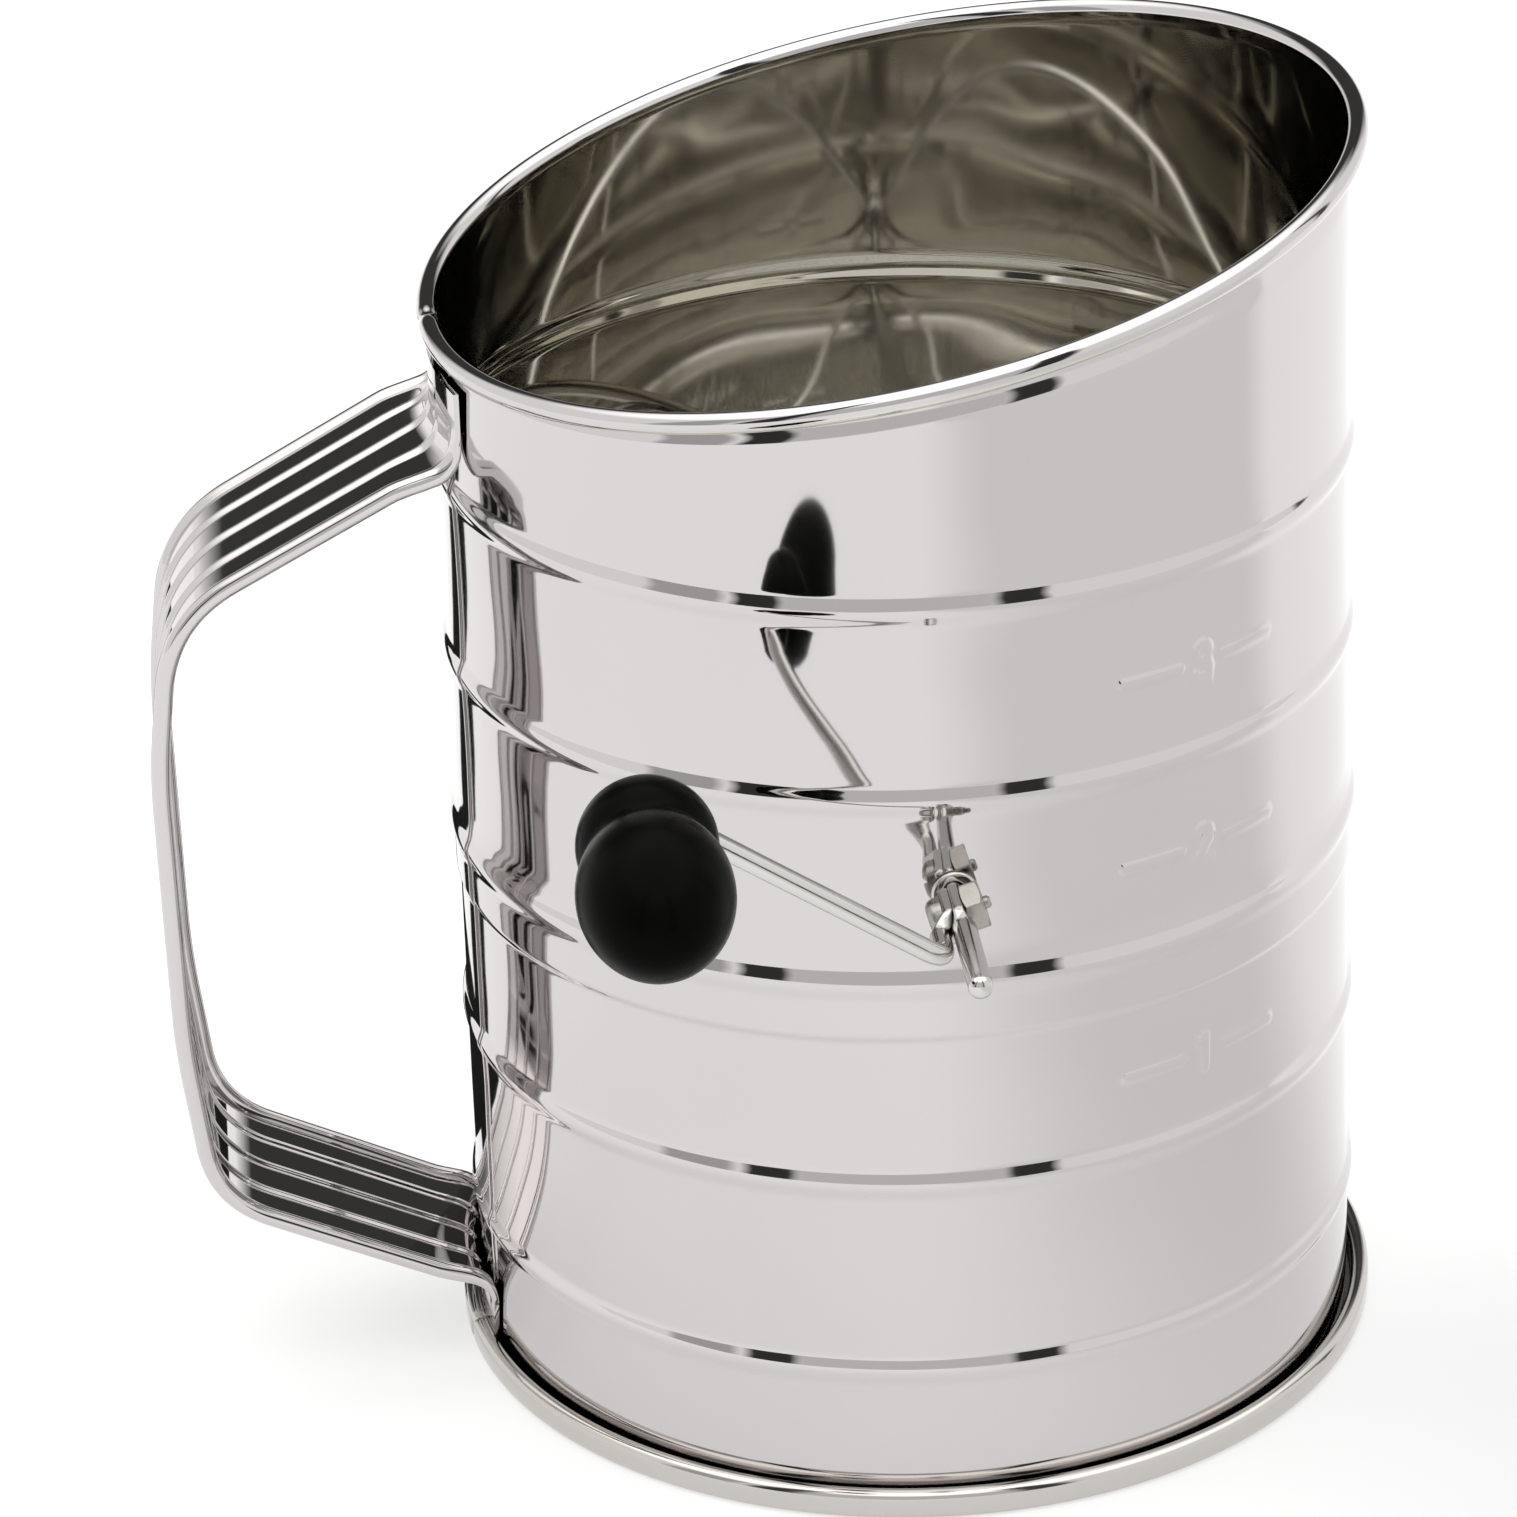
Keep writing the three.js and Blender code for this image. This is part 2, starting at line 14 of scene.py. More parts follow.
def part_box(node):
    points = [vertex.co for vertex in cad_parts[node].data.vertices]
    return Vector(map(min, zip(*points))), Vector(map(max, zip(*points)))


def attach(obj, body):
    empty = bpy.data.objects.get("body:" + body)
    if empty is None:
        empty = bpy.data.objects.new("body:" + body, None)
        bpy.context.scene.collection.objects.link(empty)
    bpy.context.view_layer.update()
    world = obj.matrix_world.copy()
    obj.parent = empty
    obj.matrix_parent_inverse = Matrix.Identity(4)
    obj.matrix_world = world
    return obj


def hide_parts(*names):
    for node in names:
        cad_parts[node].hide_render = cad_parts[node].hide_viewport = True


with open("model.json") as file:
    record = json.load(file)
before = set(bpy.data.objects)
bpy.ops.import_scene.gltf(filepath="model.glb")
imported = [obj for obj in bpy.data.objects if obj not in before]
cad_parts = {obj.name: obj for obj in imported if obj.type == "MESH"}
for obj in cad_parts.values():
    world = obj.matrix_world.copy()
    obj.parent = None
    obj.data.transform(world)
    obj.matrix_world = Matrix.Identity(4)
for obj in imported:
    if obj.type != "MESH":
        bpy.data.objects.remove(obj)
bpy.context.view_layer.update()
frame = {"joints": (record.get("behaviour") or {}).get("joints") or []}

MM = 0.001
TAU = 2 * math.pi


# ---- Places taken from the frame -----------------------------------------------------------

def joint(name):
    return next(j for j in frame["joints"] if j["name"] == name)


def middle(node):
    low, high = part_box(node)
    return (low + high) / 2


def size(node):
    low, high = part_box(node)
    return (high - low) / MM


AXIS = middle("base_ring") * Vector((1, 1, 0))          # foot of the can's axis, metres
RING_OUTER = size("base_ring").x / 2
RING_HEIGHT = size("base_ring").z
SHAFT_Z = joint("crank_turn")["pos_m"][2] / MM


def in_can(point):
    """A point of the frame, in metres, as millimetres from the can's axis."""
    return (Vector(point) - AXIS) / MM


# ---- Sizes of the sheet-metal work ---------------------------------------------------------

SHEET = 0.5
BASE_RADIUS = 55.9
TOP_RADIUS = 55.1
RIM_Z = 148.4
RIM_SLOPE = math.radians(10.6)
RIM_HIGH_SIDE = math.radians(10)         # from +X toward +Y
CURL_RADIUS = 1.3
SHEAR_START = 124.0
WALL_START = 0.8

BEADS = (19.4, 45.0, 95.5, 119.5)
BEAD_RISE = 0.52
BEAD_HALF = 2.15                         # half width of a bead
SHOULDER_RISE = 0.12                     # the wall swells softly toward each bead
SHOULDER = 3.8
SEAT_Z = 71.8
SEAT_RISE = 0.85
SEAT_FOOT = 65.0
SEAT_FOOT_RISE = 0.45
NECK_DEPTH = 0.5                         # the wall draws in under the rolled rim
NECK_START = 4.6                         # below the middle of the roll
NECK_END = 1.9
NECK_FADE = (math.radians(75), math.radians(110))       # it dies away on both sides of the front

SEAM = math.radians(-78)                 # the lap seam, from -Y toward +X
SEAM_STEP = 0.32
SEAM_FADE = (math.radians(-128), math.radians(-104))    # behind the handle
RIM_JOINT = math.radians(-88)            # where the ends of the rolled rim meet
CORE_RADIUS = 0.5                        # the wire inside the rolled rim

SCREEN_PITCH = 1.6
SCREEN_WIRE = 0.21                       # how far each wire swings over and under the others
SCREEN_WIRE_RADIUS = 0.168


def wall_radius(z):
    return BASE_RADIUS + (TOP_RADIUS - BASE_RADIUS) * z / RIM_Z


WALL_AT_SHAFT = float(wall_radius(SHAFT_Z))


# ---- Mesh helpers --------------------------------------------------------------------------

def add_mesh(name, points, faces, material, sharp=35, tidy=True):
    """One smooth-shaded object from points in millimetres about the can's axis."""
    placed = np.asarray(points, float).reshape(-1, 3) * MM + np.array(AXIS)
    mesh = bpy.data.meshes.new(name)
    mesh.from_pydata(placed.tolist(), [], [list(map(int, f)) for f in faces])
    if tidy:
        work = bmesh.new()
        work.from_mesh(mesh)
        bmesh.ops.remove_doubles(work, verts=work.verts, dist=1e-7)
        bmesh.ops.dissolve_degenerate(work, edges=work.edges, dist=1e-8)
        bmesh.ops.recalc_face_normals(work, faces=work.faces)
        work.to_mesh(mesh)
        work.free()
    mesh.shade_smooth()
    mesh.set_sharp_from_angle(angle=math.radians(sharp))
    made = bpy.data.objects.new(name, mesh)
    bpy.context.scene.collection.objects.link(made)
    mesh.materials.append(material)
    return made


def grid_faces(rows, columns, close_rows=False, close_columns=False):
    row = np.arange(rows if close_rows else rows - 1)
    column = np.arange(columns if close_columns else columns - 1)
    r, c = np.meshgrid(row, column, indexing="ij")
    below, right = (r + 1) % rows, (c + 1) % columns
    corners = [r * columns + c, below * columns + c, below * columns + right, r * columns + right]
    return np.stack(corners, -1).reshape(-1, 4)


def frame_for(origin, axis):
    """A 3x3 turn and an origin that carry +Z onto the axis."""
    turn = Vector((0, 0, 1)).rotation_difference(Vector(axis).normalized()).to_matrix()
    return np.array(turn), np.array(origin, float)


def revolve(name, outline, material, sides=96, origin=(0, 0, 0), axis=(0, 0, 1), sharp=35):
    """A turned piece from a closed outline of (radius, height) points."""
    outline = np.asarray(outline, float)
    turn = np.arange(sides) * TAU / sides
    r, h = outline[:, 0][:, None], outline[:, 1][:, None]
    points = np.stack([r * np.cos(turn), r * np.sin(turn), h + 0 * turn], -1)
    matrix, start = frame_for(origin, axis)
    points = points @ matrix.T + start
    faces = grid_faces(len(outline), sides, True, True)
    return add_mesh(name, points, faces, material, sharp)


def arc(centre_r, centre_h, radius, start, end, steps):
    """Points of a circular arc in an outline; angles in degrees."""
    turn = np.radians(np.linspace(start, end, steps + 1))
    return [(centre_r + radius * math.cos(t), centre_h + radius * math.sin(t)) for t in turn]


def carried_frames(path):
    """Along, side and up directions at each point of a path, turned as little as possible."""
    along = np.gradient(path, axis=0)
    along /= np.linalg.norm(along, axis=1, keepdims=True)
    seed = np.array([0.0, 0.0, 1.0]) if abs(along[0][2]) < 0.8 else np.array([0.0, 1.0, 0.0])
    side = np.cross(along[0], seed)
    side /= np.linalg.norm(side)
    sides = []
    for t in along:
        side = side - t * side.dot(t)
        side /= np.linalg.norm(side)
        sides.append(side)
    sides = np.array(sides)
    return along, sides, np.cross(along, sides)


def tube(name, path, radius, material, sides=20, sharp=50):
    """A round wire along a path, with domed ends."""
    path = np.asarray(path, float)
    radii = np.full(len(path), radius) if np.isscalar(radius) else np.asarray(radius, float)
    along, side, up = carried_frames(path)
    dome = np.radians(np.array([90, 70, 45, 22]))
    head = [(path[0] - along[0] * radii[0] * math.sin(t), radii[0] * math.cos(t), 0) for t in dome]
    body = [(p, r, i) for i, (p, r) in enumerate(zip(path, radii))]
    last = len(path) - 1
    tail = [(path[-1] + along[-1] * radii[-1] * math.sin(t), radii[-1] * math.cos(t), last)
            for t in dome[::-1]]
    turn = np.arange(sides) * TAU / sides
    rings = [p + r * (np.cos(turn)[:, None] * side[i] + np.sin(turn)[:, None] * up[i])
             for p, r, i in head + body + tail]
    faces = grid_faces(len(rings), sides, False, True)
    return add_mesh(name, np.array(rings), faces, material, sharp)


def bent_path(corners, roundings, step):
    """Points about `step` apart through corners, each inner corner rounded off at its distance."""
    corners = [np.array(c, float) for c in corners]
    stretches = []
    start = corners[0]
    for before, corner, after, rounding in zip(corners, corners[1:], corners[2:], roundings):
        to_back = (before - corner) / np.linalg.norm(before - corner)
        to_next = (after - corner) / np.linalg.norm(after - corner)
        enter, leave = corner + to_back * rounding, corner + to_next * rounding
        stretches.append(("line", start, enter))
        stretches.append(("bend", enter, corner, leave))
        start = leave
    stretches.append(("line", start, corners[-1]))
    points = []
    for kind, *ends in stretches:
        length = np.linalg.norm(ends[-1] - ends[0])
        count = max(int(length / step), 12 if kind == "bend" else 1)
        for t in np.arange(count) / count:
            if kind == "line":
                points.append(ends[0] * (1 - t) + ends[1] * t)
            else:
                points.append(ends[0] * (1 - t) ** 2 + 2 * ends[1] * t * (1 - t) + ends[2] * t * t)
    points.append(corners[-1])
    return np.array(points)


def applied(made):
    """Bakes an object's modifiers into its mesh."""
    bpy.context.view_layer.update()
    whole = made.evaluated_get(bpy.context.evaluated_depsgraph_get())
    mesh = bpy.data.meshes.new_from_object(whole)
    made.modifiers.clear()
    made.data = mesh
    return made


def smoothstep(low, high, value):
    t = np.clip((value - low) / (high - low), 0, 1)
    return t * t * (3 - 2 * t)


def settle(piece, body, slot, *replaced):
    """Hangs a finished piece on the body it rides on and hides the CAD nodes it stands for; its
    finish, slot, is not used.
    """
    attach(piece, body)
    if replaced:
        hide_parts(*replaced)
    return piece


# ---- Materials -----------------------------------------------------------------------------

def node_material(name):
    material = bpy.data.materials.new(name)
    material.use_nodes = True
    tree = material.node_tree
    return material, tree, tree.nodes["Principled BSDF"]


def noise(tree, scale, detail=2.0, stretch=(1, 1, 1)):
    coordinates = tree.nodes.new("ShaderNodeTexCoord")
    mapping = tree.nodes.new("ShaderNodeMapping")
    mapping.inputs["Scale"].default_value = stretch
    texture = tree.nodes.new("ShaderNodeTexNoise")
    texture.inputs["Scale"].default_value = scale
    texture.inputs["Detail"].default_value = detail
    tree.links.new(coordinates.outputs["Object"], mapping.inputs["Vector"])
    tree.links.new(mapping.outputs["Vector"], texture.inputs["Vector"])
    return texture.outputs["Fac"]


def ramp(tree, source, low, high):
    """A source between 0 and 1 spread between two values or two colours."""
    if np.isscalar(low):
        spread = tree.nodes.new("ShaderNodeMapRange")
        spread.inputs["From Min"].default_value = 0.3
        spread.inputs["From Max"].default_value = 0.7
        spread.inputs["To Min"].default_value = low
        spread.inputs["To Max"].default_value = high
        tree.links.new(source, spread.inputs["Value"])
        return spread.outputs["Result"]
    mix = tree.nodes.new("ShaderNodeMix")
    mix.data_type = "RGBA"
    mix.inputs["A"].default_value = (*low, 1)
    mix.inputs["B"].default_value = (*high, 1)
    tree.links.new(source, mix.inputs["Factor"])
    return mix.outputs["Result"]


def bump(tree, shader, height, strength, distance):
    node = tree.nodes.new("ShaderNodeBump")
    node.inputs["Strength"].default_value = strength
    node.inputs["Distance"].default_value = distance
    tree.links.new(height, node.inputs["Height"])
    tree.links.new(node.outputs["Normal"], shader.inputs["Normal"])


def metal(name, dark, light, smooth, rough, grain=180, stretch=(1, 1, 1), relief=0.00002):
    """Bare metal: a slightly mottled tint, uneven polish and a fine surface relief."""
    material, tree, shader = node_material(name)
    shader.inputs["Metallic"].default_value = 1.0
    tree.links.new(ramp(tree, noise(tree, 22, 3), dark, light), shader.inputs["Base Color"])
    polish = ramp(tree, noise(tree, grain, 4, stretch), smooth, rough)
    tree.links.new(polish, shader.inputs["Roughness"])
    bump(tree, shader, noise(tree, grain * 4, 3, stretch), 0.12, relief)
    return material


GRAIN = (1, 1, 0.06)                     # rolled sheet: streaks that run up the can


def polished_steel():
    return metal("polished_steel", (0.565, 0.545, 0.54), (0.60, 0.58, 0.575), 0.03, 0.07, 60, GRAIN)


def inside_steel():
    return metal("inside_steel", (0.62, 0.60, 0.535), (0.67, 0.645, 0.58), 0.04, 0.085, 60, GRAIN)


def hemmed_steel():
    return metal("hemmed_steel", (0.53, 0.505, 0.48), (0.59, 0.565, 0.54), 0.07, 0.14, 90)


def satin_steel():
    return metal("satin_steel", (0.50, 0.49, 0.46), (0.58, 0.57, 0.54), 0.12, 0.24, 240)


def drawn_wire():
    return metal("drawn_wire", (0.54, 0.53, 0.51), (0.64, 0.63, 0.61), 0.10, 0.20, 320)


def plated():
    return metal("plated_hardware", (0.27, 0.26, 0.24), (0.46, 0.445, 0.41), 0.16, 0.34, 380)


def screen_steel():
    return metal("screen_steel", (0.44, 0.43, 0.41), (0.54, 0.53, 0.51), 0.2, 0.32, 600)


def black_gloss():
    material, tree, shader = node_material("black_gloss_plastic")
    tint = ramp(tree, noise(tree, 90, 3), (0.0014, 0.0014, 0.0012), (0.003, 0.003, 0.0026))
    tree.links.new(tint, shader.inputs["Base Color"])
    polish = ramp(tree, noise(tree, 240, 3), 0.2, 0.3)
    tree.links.new(polish, shader.inputs["Roughness"])
    shader.inputs["Specular IOR Level"].default_value = 0.018
    bump(tree, shader, noise(tree, 500, 3), 0.1, 0.00002)
    return material


FLOOR_GLOW = 1.3                         # a lit table with a painted glow: the floor gives off light of its own, which keeps the shadow under the can soft


def floor_white():
    """A white lit table with a painted shadow: a little greyer to the front right of the can, away
    from the light.
    """
    material, tree, shader = node_material("studio_floor")
    coordinates = tree.nodes.new("ShaderNodeTexCoord")
    parts = tree.nodes.new("ShaderNodeSeparateXYZ")
    tree.links.new(coordinates.outputs["Object"], parts.inputs[0])
    rightward = floor_fade(tree, parts.outputs["X"], 0.0, 0.13)
    backward = floor_fade(tree, parts.outputs["Y"], 0.06, -0.02)
    painted_shadow = tree.nodes.new("ShaderNodeMath")
    painted_shadow.operation = "MULTIPLY"
    tree.links.new(rightward, painted_shadow.inputs[0])
    tree.links.new(backward, painted_shadow.inputs[1])
    # painted shadow: the floor's colour, and with it its glow, darkens to the front right of the
    # can
    tint = ramp(tree, painted_shadow.outputs[0], (0.45, 0.45, 0.45), (0.35, 0.35, 0.353))
    tree.links.new(tint, shader.inputs["Base Color"])
    tree.links.new(tint, shader.inputs["Emission Color"])
    # painted glow: the floor emits light of its own, tinted like its colour
    shader.inputs["Emission Strength"].default_value = FLOOR_GLOW
    shader.inputs["Roughness"].default_value = 0.9
    shader.inputs["Specular IOR Level"].default_value = 0.1
    return material


def floor_fade(tree, place, start, end):
    """0 at one distance and 1 at another, in metres, with a smooth run between."""
    fade = tree.nodes.new("ShaderNodeMapRange")
    fade.interpolation_type = "SMOOTHSTEP"
    fade.inputs["From Min"].default_value = start
    fade.inputs["From Max"].default_value = end
    tree.links.new(place, fade.inputs["Value"])
    return fade.outputs["Result"]


POLISHED = polished_steel()
INSIDE = inside_steel()
HEMMED = hemmed_steel()
SATIN = satin_steel()
WIRE = drawn_wire()
PLATED = plated()
SCREEN = screen_steel()
BLACK = black_gloss()


# ---- Can -----------------------------------------------------------------------------------

def swell(place):
    """A smooth hump, 1 at 0 and level with its surroundings at -1 and 1."""
    return 0.5 + 0.5 * np.cos(math.pi * np.clip(place, -1, 1))


def wall_rise(z):
    """How far the wall stands out of its plain taper at each height."""
    rise = np.zeros_like(z)
    for bead in BEADS:
        rise += BEAD_RISE * swell((z - bead) / BEAD_HALF)
        rise += SHOULDER_RISE * np.exp(-((z - bead) / SHOULDER) ** 2)
    rise += (SEAT_RISE - SEAT_FOOT_RISE) * swell((z - SEAT_Z) / BEAD_HALF)
    foot = smoothstep(SEAT_FOOT - 0.9, SEAT_FOOT + 0.3, z)
    rise += SEAT_FOOT_RISE * foot * (1 - smoothstep(SEAT_Z, SEAT_Z + 4.5, z))
    return rise


def neck(turn, z):
    """How far the wall draws in under the rolled rim, round the front half of the can."""
    front = 1 - smoothstep(*NECK_FADE, np.abs(turn))
    return NECK_DEPTH * front * smoothstep(RIM_Z - NECK_START, RIM_Z - NECK_END, z)


def stroke_distance(u, v, strokes):
    """Distance from each (u, v) to the nearest of some polylines."""
    nearest = np.full(u.shape, 1e9)
    for stroke in strokes:
        for (au, av), (bu, bv) in zip(stroke, stroke[1:]):
            du, dv = bu - au, bv - av
            t = np.clip(((u - au) * du + (v - av) * dv) / (du * du + dv * dv), 0, 1)
            nearest = np.minimum(nearest, np.hypot(u - au - t * du, v - av - t * dv))
    return nearest


def numeral(number):
    """Strokes of a plain numeral about 4.4 mm tall, centred on the origin."""
    if number == 1:
        return [[(-0.8, 1.5), (0.1, 2.2), (0.1, -2.2)]]
    if number == 2:
        top = arc(0, 1.1, 1.1, 170, -35, 12)
        return [top + [(-1.2, -2.2), (1.3, -2.2)]]
    upper = arc(0, 1.15, 1.05, 160, -90, 12)
    lower = arc(0, -1.1, 1.15, 90, -160, 12)
    return [upper, lower]


MARK_RISE = 0.26
MARK_STROKE = 0.42
MARK_HEIGHTS = {3: 106.8, 2: 83.2, 1: 55.4}
MARK_AZIMUTH = math.radians(33.5)
MARK_BAR = (3.4, 11.6)                   # each graduation bar's start and end from the numeral


def mark_rise(turn, z):
    """Raised graduations: a numeral between two bars, in each measuring band."""
    across = (turn - MARK_AZIMUTH) * BASE_RADIUS
    rise = np.zeros(np.broadcast(turn, z).shape)
    for number, height in MARK_HEIGHTS.items():
        near, far = MARK_BAR
        strokes = numeral(number) + [[(near, 0), (far, 0)], [(-far, 0), (-near, 0)]]
        distance = stroke_distance(across + 0 * z, z - height + 0 * across, strokes)
        rise = np.maximum(rise, 1 - smoothstep(MARK_STROKE, MARK_STROKE + 0.45, distance))
    return MARK_RISE * rise


WAVES = 9
WAVE_HEIGHT = 0.016


def waviness(turn, z):
    """Slow unevenness of rolled and polished sheet."""
    draw = np.random.RandomState(7)
    total = np.zeros(np.broadcast(turn, z).shape)
    for _ in range(WAVES):
        around = draw.randint(2, 12)
        upward = TAU / draw.uniform(18, 70)
        phase = draw.uniform(0, TAU)
        total = total + np.sin(around * turn + upward * z + phase) * draw.choice([-1, 1])
    return WAVE_HEIGHT * total


def seam_rise(turn):
    """The lap's outer sheet steps up at the seam and dies away behind the handle."""
    up = smoothstep(SEAM + 0.006, SEAM - 0.006, turn)
    away = smoothstep(*SEAM_FADE, turn)
    return SEAM_STEP * up * away


def rim_notch(turn):
    """A crimp where the ends of the rolled rim meet."""
    return 0.30 * np.exp(-((turn - RIM_JOINT) / math.radians(1.3)) ** 2)


def wall_stations():
    """Heights of the wall's rows: close together at beads and marks, wide apart elsewhere."""
    heights = [WALL_START]
    z = WALL_START
    while z < RIM_Z - 1.0:
        bead = min(abs(z - b) for b in (*BEADS, SEAT_Z, SEAT_FOOT))
        mark = min(abs(z - m) for m in MARK_HEIGHTS.values())
        step = 0.3 if bead < 2.5 else 0.7 if bead < 7 else 2.0
        if mark < 3.2 or abs(z - SHAFT_Z) < 3.6 or z > RIM_Z - 6:
            step = min(step, 0.4)
        z += step
        heights.append(z)
    return np.array(heights[:-1] + [RIM_Z])


def can_columns():
    coarse = np.radians(np.arange(-180, 180, 0.9))
    fine = np.radians(np.arange(18.5, 48.5, 0.3))
    seam = SEAM + np.radians(np.arange(-0.5, 0.51, 0.125))
    crimp = np.radians(np.arange(-92, -84, 0.3))
    front = np.radians(np.arange(-3.9, 4, 0.3))
    rear = np.radians(np.arange(-180, -176, 0.3))
    places = [coarse, fine, seam, crimp, front, rear, -rear[1:]]
    turns = np.unique(np.concatenate(places).round(5))
    keep = np.concatenate([[True], np.diff(turns) > math.radians(0.1)])
    return turns[keep]


def tilt(turn, radius):
    """Height that the slanted mouth adds at an azimuth measured from -Y toward +X."""
    x, y = np.sin(turn) * radius, -np.cos(turn) * radius
    along = x * math.cos(RIM_HIGH_SIDE) + y * math.sin(RIM_HIGH_SIDE)
    return along * math.tan(RIM_SLOPE)


CURL_CENTRE = TOP_RADIUS - SHEET + CURL_RADIUS


def can_body():
    """One sheet: the wall from the base ring up, then over and round into the rolled rim."""
    turn = can_columns()[None, :]
    z = wall_stations()[:, None]
    rise = wall_rise(z) + mark_rise(turn, z) + waviness(turn, z)
    rise = rise + seam_rise(turn) * smoothstep(0, 6, z) * (1 - smoothstep(138, 146, z))
    radius = wall_radius(z) + rise * (1 - 0.8 * smoothstep(SHEAR_START, RIM_Z, z)) - neck(turn, z)
    radius[-1] = TOP_RADIUS
    lift = np.clip((z - SHEAR_START) / (RIM_Z - SHEAR_START), 0, 1)
    height = z + lift * tilt(turn, TOP_RADIUS)

    curl = np.radians(np.linspace(180, -105, 20))[1:, None]
    inner = (CURL_RADIUS - SHEET) * (1 - rim_notch(turn))
    curl_radius = CURL_CENTRE + inner * np.cos(curl)
    curl_height = RIM_Z + inner * np.sin(curl) + tilt(turn, CURL_CENTRE)

    radius = np.vstack([radius, curl_radius])
    height = np.vstack([height + 0 * turn, curl_height])
    points = np.stack([radius * np.sin(turn), -radius * np.cos(turn), height], -1)
    rows, columns = radius.shape
    faces = grid_faces(rows, columns, False, True)
    faces = faces[[not near_shaft(points.reshape(-1, 3)[f].mean(0)) for f in faces]]

    made = add_mesh("can", points, faces, POLISHED, sharp=60)
    made.data.materials.append(INSIDE)
    facing = made.data.polygons[0].normal.dot(made.data.polygons[0].center - AXIS)
    if facing < 0:
        made.data.flip_normals()
    thick = made.modifiers.new("sheet", "SOLIDIFY")
    thick.thickness = SHEET * MM
    thick.offset = -1
    thick.material_offset = 1
    applied(made)
    polish_roll(made.data)
    made.data.set_sharp_from_angle(angle=math.radians(60))
    return settle(made, "can", "polished_steel", "can_body")


def polish_roll(mesh):
    """Gives the rolled rim the outside's finish; only the wall below it has the inside's."""
    for face in mesh.polygons:
        x, y, z = in_can(face.center)
        turn = math.atan2(x, -y)
        if z > RIM_Z - 0.4 + tilt(turn, math.hypot(x, y)):
            face.material_index = 0


def near_shaft(point):
    """Whether a face of the wall lies in one of the two holes for the eyelets."""
    return abs(point[1]) > 40 and math.hypot(point[0], point[2] - SHAFT_Z) < EYELET_HOLE


def rim_wire():
    turn = np.arange(240) * TAU / 240
    ring = np.radians(np.arange(0, 360, 30))[:, None]
    radius = CURL_CENTRE + CORE_RADIUS * np.cos(ring)
    height = RIM_Z + CORE_RADIUS * np.sin(ring) + tilt(turn, CURL_CENTRE)
    points = np.stack([radius * np.sin(turn), -radius * np.cos(turn), height], -1)
    made = add_mesh("rim_core_wire", points, grid_faces(12, 240, True, True), WIRE)
    return settle(made, "can", "steel_wire", "rim_wire")


RING_HEM = 1.1                           # radius of the hem that the can stands in
RING_LIP = (54.5, 55.0)                  # inside and outside of the lip within the wall
RING_JOINT = math.radians(-82)           # where the ends of the channel meet
RING_SIDES = 720


def base_ring():
    """The crimped channel: an upright rolled hem outside and a short lip inside the wall."""
    hem = RING_HEM
    lip_in, lip_out = RING_LIP
    outline = [(lip_in, 0.15), (lip_in + 0.15, 0.0)]
    outline += arc(RING_OUTER - hem, hem, hem, -90, 0, 8)
    outline += arc(RING_OUTER - hem, RING_HEIGHT - hem, hem, 0, 180, 14)
    outline += [(RING_OUTER - 2 * hem, 0.9), (RING_OUTER - 2 * hem - 0.15, 0.6)]
    outline += [(lip_out + 0.1, 0.6), (lip_out, 0.75), (lip_out, 2.3)]
    outline += [(lip_in + 0.25, 2.45), (lip_in, 2.3)]
    outline = np.array(outline)
    turn = np.arange(RING_SIDES) * TAU / RING_SIDES - math.pi
    joint_gap = np.exp(-((turn - RING_JOINT) / math.radians(0.35)) ** 2)
    outer = outline[:, 0][:, None] > BASE_RADIUS + 0.3
    radius = outline[:, 0][:, None] - 0.35 * joint_gap * outer
    height = outline[:, 1][:, None] * (1 - 0.08 * joint_gap * outer)
    points = np.stack([radius * np.sin(turn), -radius * np.cos(turn), height], -1)
    faces = grid_faces(len(outline), RING_SIDES, True, True)
    made = add_mesh("base_channel", points, faces, HEMMED)
    return settle(made, "can", "polished_steel", "base_ring")


# ---- Handle --------------------------------------------------------------------------------

STRAP_WIDTH = 30.0                       # halfway along; it tapers from the top to the bottom
STRAP_TAPER = 0.22                       # of the width, over the whole length
STRAP_SHEET = 0.6
STRAP_REACH = -in_can(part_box("handle_strap")[0]).x
HEM_RADIUS = 1.15
RIB_RISE = 0.48
RIB_HALF = 1.1
RIB_PITCH = 7.0
RIBS = 3
UPPER_FOOT = (4.0, 12.0)                 # along the strap, where its section rises from flat
LOWER_FOOT = (4.5, 11.5)
FOOT_WRAP = (58, 62)                     # distances from the axis where the wrap round the can ends


def strap_section():
    """The strap's closed section as (across, outward): ribbed sheet with rolled edges."""
    half = STRAP_WIDTH / 2
    flat = half - 2 * HEM_RADIUS
    across = np.linspace(-flat, flat, 171)
    rise = np.zeros_like(across)
    for i in range(RIBS):
        middle_of_rib = (i - (RIBS - 1) / 2) * RIB_PITCH
        rise += RIB_RISE * swell((across - middle_of_rib) / RIB_HALF)
    outer = list(zip(across, rise + STRAP_SHEET / 2))
    inner = list(zip(across[::-1], rise[::-1] - STRAP_SHEET / 2))
    edge = np.radians(np.linspace(150, -150, 21))
    right = [(half - HEM_RADIUS + HEM_RADIUS * math.cos(t), HEM_RADIUS * math.sin(t) - 0.15)
             for t in edge]
    left = [(-a, r) for a, r in right[::-1]]
    return np.array(outer + right + inner + left)


